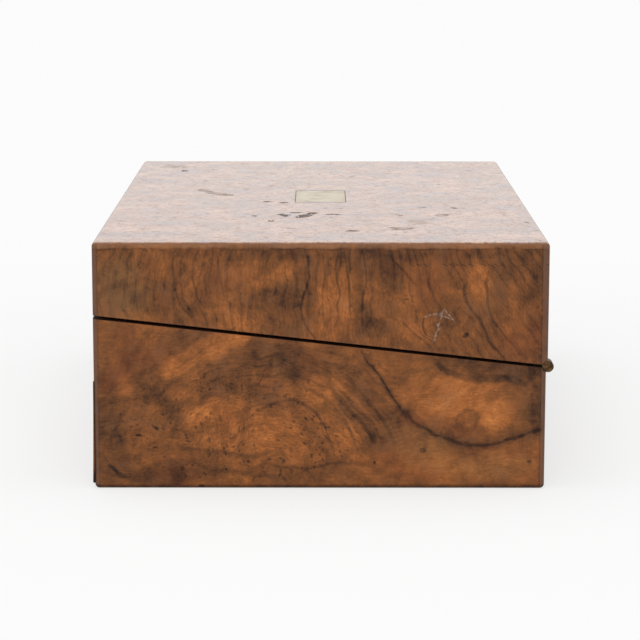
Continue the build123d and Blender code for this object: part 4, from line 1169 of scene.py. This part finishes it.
# %% Hinge screws
LEAF_MIDDLE = 197.5
LEAF_START, LEAF_PITCH = 3.5, 15.5  # up the slope: to the leaf, and from screw to screw
LEAF_SUNK = 0.1
leaf_screw = screw_model(2.3, 1.4)
turn = 20
for side, x in (("left", -LEAF_MIDDLE), ("right", LEAF_MIDDLE)):
    for body, way in (("base", 1), ("lid", -1)):
        for row in range(3):
            along = LEAF_START + (row + 0.5) * LEAF_PITCH
            place = on_cut(x, along, -way * (HALF_GAP + LEAF_SUNK))
            turn += 53
            name = f"screw_{side}_{body}_leaf_{row + 1}"
            copy_to(leaf_screw, name, place, CUT_NORMAL * way, turn, "steel", body)
bpy.data.objects.remove(leaf_screw)

# %% Screws of the lock, the link plate, the pull and the turn button
SELVEDGE_ALONG = 246.3  # up the slope from the hinge to the middle of the lock's plate
PLATE_SCREW_X = 27.0
PULL_SCREW_Y = 23.4 * MM
PROUD = 0.3
raised_screw = screw_model(1.7, 0.9)


def raised(name, place, outward, turn, body):
    copy_to(raised_screw, f"screw_{name}", place, outward, turn, "screw", body)


for number, x in enumerate((-PLATE_SCREW_X, PLATE_SCREW_X)):
    lock_place = on_cut(x, SELVEDGE_ALONG, PROUD - HALF_GAP)
    raised(f"lock_{number + 1}", lock_place, CUT_NORMAL, 35 + 80 * number, "base")
    link_place = on_cut(x, SELVEDGE_ALONG, HALF_GAP - PROUD)
    raised(f"link_{number + 1}", link_place, -CUT_NORMAL, 75 - 50 * number, "lid")
pull_low, pull_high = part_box("pull_plate")
pull_middle = (pull_low + pull_high) / 2
for number, aside in enumerate((-PULL_SCREW_Y, PULL_SCREW_Y)):
    place = (pull_high.x + PROUD * MM, pull_middle.y + aside, pull_middle.z)
    raised(f"pull_{number + 1}", place, (1, 0, 0), 15 + 60 * number, "drawer")
catch_low, catch_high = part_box("flap_catch")
catch_middle = (catch_low + catch_high) / 2
catch_place = Vector((catch_middle.x, catch_middle.y, catch_low.z)) - CUT_NORMAL * PROUD * MM
raised("turn_button", catch_place, -CUT_NORMAL, 120, "catch")
bpy.data.objects.remove(raised_screw)

# %% [markdown]
# ## Pins of the keyhole plate
# Two dome-headed pins hold the keyhole plate. Each starts as a small sphere, cut level with the
# plate and flattened; a sphere is already round from every side, which a cylinder would need
# several bevels for.

# %% Pins
PIN_RADIUS = 0.75
PIN_SUNK = 0.3  # share of the radius that is left below the middle
PIN_FLAT = 0.5
PIN_FROM_END = 2.2 * MM


def pin_model(radius):
    bpy.ops.mesh.primitive_uv_sphere_add(segments=16, ring_count=8, radius=radius * MM)
    pin = fresh("pin_model")
    bpy.ops.mesh.select_all(action="SELECT")
    cut = (0, 0, -radius * PIN_SUNK * MM)
    bpy.ops.mesh.bisect(plane_co=cut, plane_no=(0, 0, 1), use_fill=True, clear_inner=True)
    bpy.ops.mesh.select_all(action="SELECT")
    bpy.ops.transform.resize(value=(1, 1, PIN_FLAT), center_override=(0, 0, 0))
    bpy.ops.mesh.normals_make_consistent(inside=False)
    smooth()
    return pin


plate_low, plate_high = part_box("keyhole_escutcheon")
plate_middle = (plate_low + plate_high) / 2
pin = pin_model(PIN_RADIUS)
for name, z in (("lower", plate_low.z + PIN_FROM_END), ("upper", plate_high.z - PIN_FROM_END)):
    place = (plate_middle.x, plate_high.y, z)
    copy_to(pin, f"pin_keyhole_{name}", place, (0, 1, 0), 0, "brass", "base")
bpy.data.objects.remove(pin)

# %% [markdown]
# ## Inkwell caps
# The caps are turned brass with a milled rim, so that inky fingers can grip them. A cylinder with
# many sides gives the rim: every other upright edge goes in a little. Its top face is inset and
# sunk for a groove, then extruded and shrunk in steps, which makes the dome, and its underside
# is inset and pushed up, so that the cap goes over the neck of the well.

# %% Caps
CAP_SIDES = 96
CAP_RIM = 6.4
CAP_DOME = 3.4
CAP_TURNING = ((1.0, 0.35), (0.35, -0.5), (0.5, 0.6))  # each an inset and a rise
DOME_STEPS = 9
DOME_ARC = 1.35  # of the dome's side, in radians
MILLING = 0.978
NECK_ROOM = 12.2
NECK_DEPTH = 6.0


def turned_cap(side):
    low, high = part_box(f"{side}_inkwell_cap")
    x, y, foot = (low.x + high.x) / 2, (low.y + high.y) / 2, low.z
    radius = (high.y - low.y) / 2 / MM
    rim_top = foot + CAP_RIM * MM
    middle = (x, y, foot + CAP_RIM * MM / 2)
    bpy.ops.mesh.primitive_cylinder_add(
        vertices=CAP_SIDES, radius=radius * MM, depth=CAP_RIM * MM, location=middle
    )
    cap = fresh(f"{side}_cap_turned")

    def odd_upright(edge):
        a, b = edge.verts
        turn = math.atan2(a.co.y - y, a.co.x - x) / (2 * math.pi) * CAP_SIDES
        return abs(a.co.z - b.co.z) > 1e-4 and round(turn) % 2 == 1

    choose(cap, odd_upright, "edges")
    bpy.ops.transform.resize(value=(MILLING, MILLING, 1), center_override=(x, y, foot))
    choose(cap, lambda face: face.normal.z > 0.9)
    for inset, rise in CAP_TURNING:
        bpy.ops.mesh.inset(thickness=inset * MM)
        push(z=rise)
    for step in range(DOME_STEPS):
        before, now = step / DOME_STEPS * DOME_ARC, (step + 1) / DOME_STEPS * DOME_ARC
        push(z=CAP_DOME * (math.sin(now) - math.sin(before)))
        shrink = math.cos(now) / math.cos(before)
        bpy.ops.transform.resize(value=(shrink, shrink, 1), center_override=(x, y, rim_top))
    choose(cap, lambda face: face.normal.z < -0.9)
    bpy.ops.mesh.inset(thickness=(radius * MILLING - NECK_ROOM) * MM)
    push(z=NECK_DEPTH)
    smooth()
    settle(cap, "brass", "base")
    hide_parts(f"{side}_inkwell_cap")


for side in ("left", "right"):
    turned_cap(side)

# %% [markdown]
# ## Ink in the wells
# A skin of old ink lies at the bottom of each well and creeps up the glass: a disc whose middle
# is inset and lowered twice, since a flat disc would look poured a minute ago.

# %% Ink
WELL_BORE = 8.4
INK_DEPTH = 3.0
WELL_FLOOR = 6.0
INK_HOLLOW = ((0.5, 1.2), (2.0, 0.5))  # each an inset and a fall


def dried_ink(side):
    low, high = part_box(f"{side}_inkwell")
    middle = ((low.x + high.x) / 2, (low.y + high.y) / 2, low.z + (WELL_FLOOR + INK_DEPTH / 2) * MM)
    bpy.ops.mesh.primitive_cylinder_add(
        vertices=48, radius=WELL_BORE * MM, depth=INK_DEPTH * MM, location=middle
    )
    ink = fresh(f"{side}_dried_ink")
    choose(ink, lambda face: face.normal.z > 0.9)
    for inset, fall in INK_HOLLOW:
        bpy.ops.mesh.inset(thickness=inset * MM)
        bpy.ops.transform.translate(value=(0, 0, -fall * MM))
    smooth(60)
    settle(ink, "ink", "base")


for side in ("left", "right"):
    dried_ink(side)

# %% [markdown]
# ## The bail of the drawer's pull
# The bail is one bent rod. A ring of points at its tip is extruded along the straight runs and
# spun round the four bends, and its ends are filled. A curve with a bevel would do as well, but
# this way the grip can swell a little in its middle.

# %% Bail
BAIL_LEG = 17.2
NECK_BEND = 1.6
GRIP_BEND = 3.0
GRIP_SWELLS = (1.08, 1.1, 1.05, 0.95, 0.91, 0.93)
NECK_STEPS, GRIP_STEPS = 8, 10


def spin(steps, centre, way):
    """A quarter turn of what is selected, round a line along the box."""
    bpy.ops.mesh.spin(steps=steps, angle=math.pi / 2, center=centre, axis=(way, 0, 0))


def bent_bail():
    low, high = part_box("pull_bail")
    rod = (high.x - low.x) / 2
    x, middle = (low.x + high.x) / 2, (low.y + high.y) / 2
    pivot, grip = high.z - rod, low.z + rod
    leg, neck, bend = BAIL_LEG * MM, NECK_BEND * MM, GRIP_BEND * MM
    end_run = (high.y - low.y) / 2 / MM - BAIL_LEG - NECK_BEND
    drop = (grip + bend - (pivot - neck)) / MM
    bpy.ops.mesh.primitive_circle_add(
        vertices=20, radius=rod, location=(x, low.y, pivot), rotation=(math.pi / 2, 0, 0)
    )
    bail = fresh("bail_bent")
    bpy.ops.mesh.select_all(action="SELECT")
    push(y=end_run)
    spin(NECK_STEPS, (x, middle - leg - neck, pivot - neck), -1)
    push(z=drop)
    spin(GRIP_STEPS, (x, middle - leg + bend, grip + bend), 1)
    for swell in GRIP_SWELLS:
        push(y=(2 * BAIL_LEG - 2 * GRIP_BEND) / len(GRIP_SWELLS))
        bpy.ops.transform.resize(value=(swell, 1, swell), center_override=(x, 0, grip))
    spin(GRIP_STEPS, (x, middle + leg - bend, grip + bend), 1)
    push(z=-drop)
    spin(NECK_STEPS, (x, middle + leg + neck, pivot - neck), -1)
    push(y=end_run)
    for y in (low.y, high.y):
        choose(bail, lambda edge: all(abs(v.co.y - y) < 1e-5 for v in edge.verts), "edges")
        bpy.ops.mesh.edge_face_add()
    bpy.ops.mesh.select_all(action="SELECT")
    bpy.ops.mesh.normals_make_consistent(inside=False)
    smooth(50)
    settle(bail, "brass", "bail")
    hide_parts("pull_bail")


bent_bail()

# %% [markdown]
# ## The lifted sliver
# At the rear corner, low on the left, the veneer's edge has come away from the board. It is a
# thin strip, cut across many times. Its outer face is pushed outwards more and more towards the
# loose lower end, so that it is a wedge and no light gap shows behind it, and that end is rounded.

# %% Sliver
SLIVER_TALL = 58.0
SLIVER_WIDE = 3.2
SLIVER_THICK = 0.4
SLIVER_LIFT = 0.75
SLIVER_FOOT = 3.2
SLIVER_CUTS = 14
SLIVER_CURL = 1.6  # power by which the lift grows towards the loose end


def lifted_sliver():
    x = -CASE_END + (SLIVER_WIDE / 2 + 0.5) * MM
    y = CASE_REAR + (SLIVER_THICK / 2 - 0.1) * MM
    z = (SLIVER_FOOT + SLIVER_TALL / 2) * MM
    size = (SLIVER_WIDE * MM, SLIVER_THICK * MM, SLIVER_TALL * MM)
    bpy.ops.mesh.primitive_cube_add(size=1, location=(x, y, z), scale=size)
    sliver = fresh("veneer_sliver")
    levels = [(SLIVER_FOOT + SLIVER_TALL * cut / SLIVER_CUTS) * MM for cut in range(SLIVER_CUTS + 1)]
    for level in levels[1:-1]:
        bpy.ops.mesh.select_all(action="SELECT")
        bpy.ops.mesh.bisect(plane_co=(0, 0, level), plane_no=(0, 0, 1))
    for cut, level in enumerate(levels):
        choose(sliver, lambda vert: abs(vert.co.z - level) < 1e-5 and vert.co.y > y, "verts")
        lift = SLIVER_LIFT * (1 - cut / SLIVER_CUTS) ** SLIVER_CURL * MM
        bpy.ops.transform.translate(value=(0, lift, 0))

    def outer_foot(edge):
        return all(v.co.z < (SLIVER_FOOT + 0.1) * MM and v.co.y > y for v in edge.verts)

    choose(sliver, outer_foot, "edges")
    bpy.ops.mesh.bevel(offset=0.55 * MM, segments=4)
    smooth(40)
    settle(sliver, "sliver", "base")


lifted_sliver()

# %% [markdown]
# ## The room
# A white floor that runs far back, as in a product photograph, and soft light from above and from
# the camera's side. A real floor that white would throw its light up the box, so only the camera,
# reflections and the glass see the extra whiteness, and the light on the box stays at the level
# where a colour renders about as it is written. The lamps stay out of reflections, because the
# polished top would mirror them as a white patch.

# %% Floor
FLOOR_HALF = 14.0
FLOOR_GREY = (0.8, 0.8, 0.8, 1)
WHITE = (1, 1, 1, 1)


def seen_ray(socket):
    """1 for a ray that the camera, a reflection or the glass sends, 0 for one that carries light."""
    rays = socket.node("ShaderNodeLightPath")
    total = rays.other("Is Camera Ray") + rays.other("Is Glossy Ray")
    return (total + rays.other("Is Transmission Ray")).maths("MINIMUM", 1.0)


bpy.ops.mesh.primitive_plane_add(size=2 * FLOOR_HALF)
floor = bpy.context.object
floor.name = "studio_floor"

floor_finish = bpy.data.materials.new("studio_floor")
floor_finish.use_nodes = True
tree = floor_finish.node_tree
tree.nodes.remove(tree.nodes["Principled BSDF"])
room = Socket(tree)
matt = room.node("ShaderNodeBsdfDiffuse", None, {"Color": FLOOR_GREY})
white = room.node("ShaderNodeEmission", None, {"Color": WHITE, "Strength": 0.97})
spot = room.node("ShaderNodeTexCoord", None, None, "Object")
from_box = spot.node("ShaderNodeVectorMath", {"operation": "LENGTH"}, {0: spot}, "Value")
bleach = fade(from_box, 0.16, 0.75) * 0.36 + 0.64
whole = room.node("ShaderNodeMixShader", None, {0: bleach * seen_ray(room), 1: matt, 2: white})
tree.links.new(whole.output, tree.nodes["Material Output"].inputs["Surface"])
give(floor, floor_finish)
print("floor", 2 * FLOOR_HALF, "m wide")

# %% Sky
SKY_LIGHT = 0.6
world = bpy.data.worlds.new("studio_sky")
bpy.context.scene.world = world
world.use_nodes = True
tree = world.node_tree
strength = seen_ray(Socket(tree)) * (1 - SKY_LIGHT) + SKY_LIGHT
tree.links.new(strength.output, tree.nodes["Background"].inputs["Strength"])
tree.nodes["Background"].inputs["Color"].default_value = WHITE
print("the sky lights the box at", SKY_LIGHT)

# %% Lamps
LAMP_AIM = Vector((0, 0, 0.07))


def soft_lamp(name, place, size, power):
    bpy.ops.object.light_add(type="AREA", location=place)
    lamp = bpy.context.object
    lamp.name = name
    lamp.data.size = size
    lamp.data.energy = power
    lamp.rotation_euler = (LAMP_AIM - Vector(place)).to_track_quat("-Z", "Y").to_euler()
    lamp.visible_glossy = False
    print(name, size, "m wide,", power, "watts")


soft_lamp("lamp_above", (-0.2, 0.15, 2.4), 2.4, 34)
soft_lamp("lamp_camera_side", (-2.6, 0.05, 1.2), 2.0, 30)
bpy.context.scene.view_settings.view_transform = "Standard"
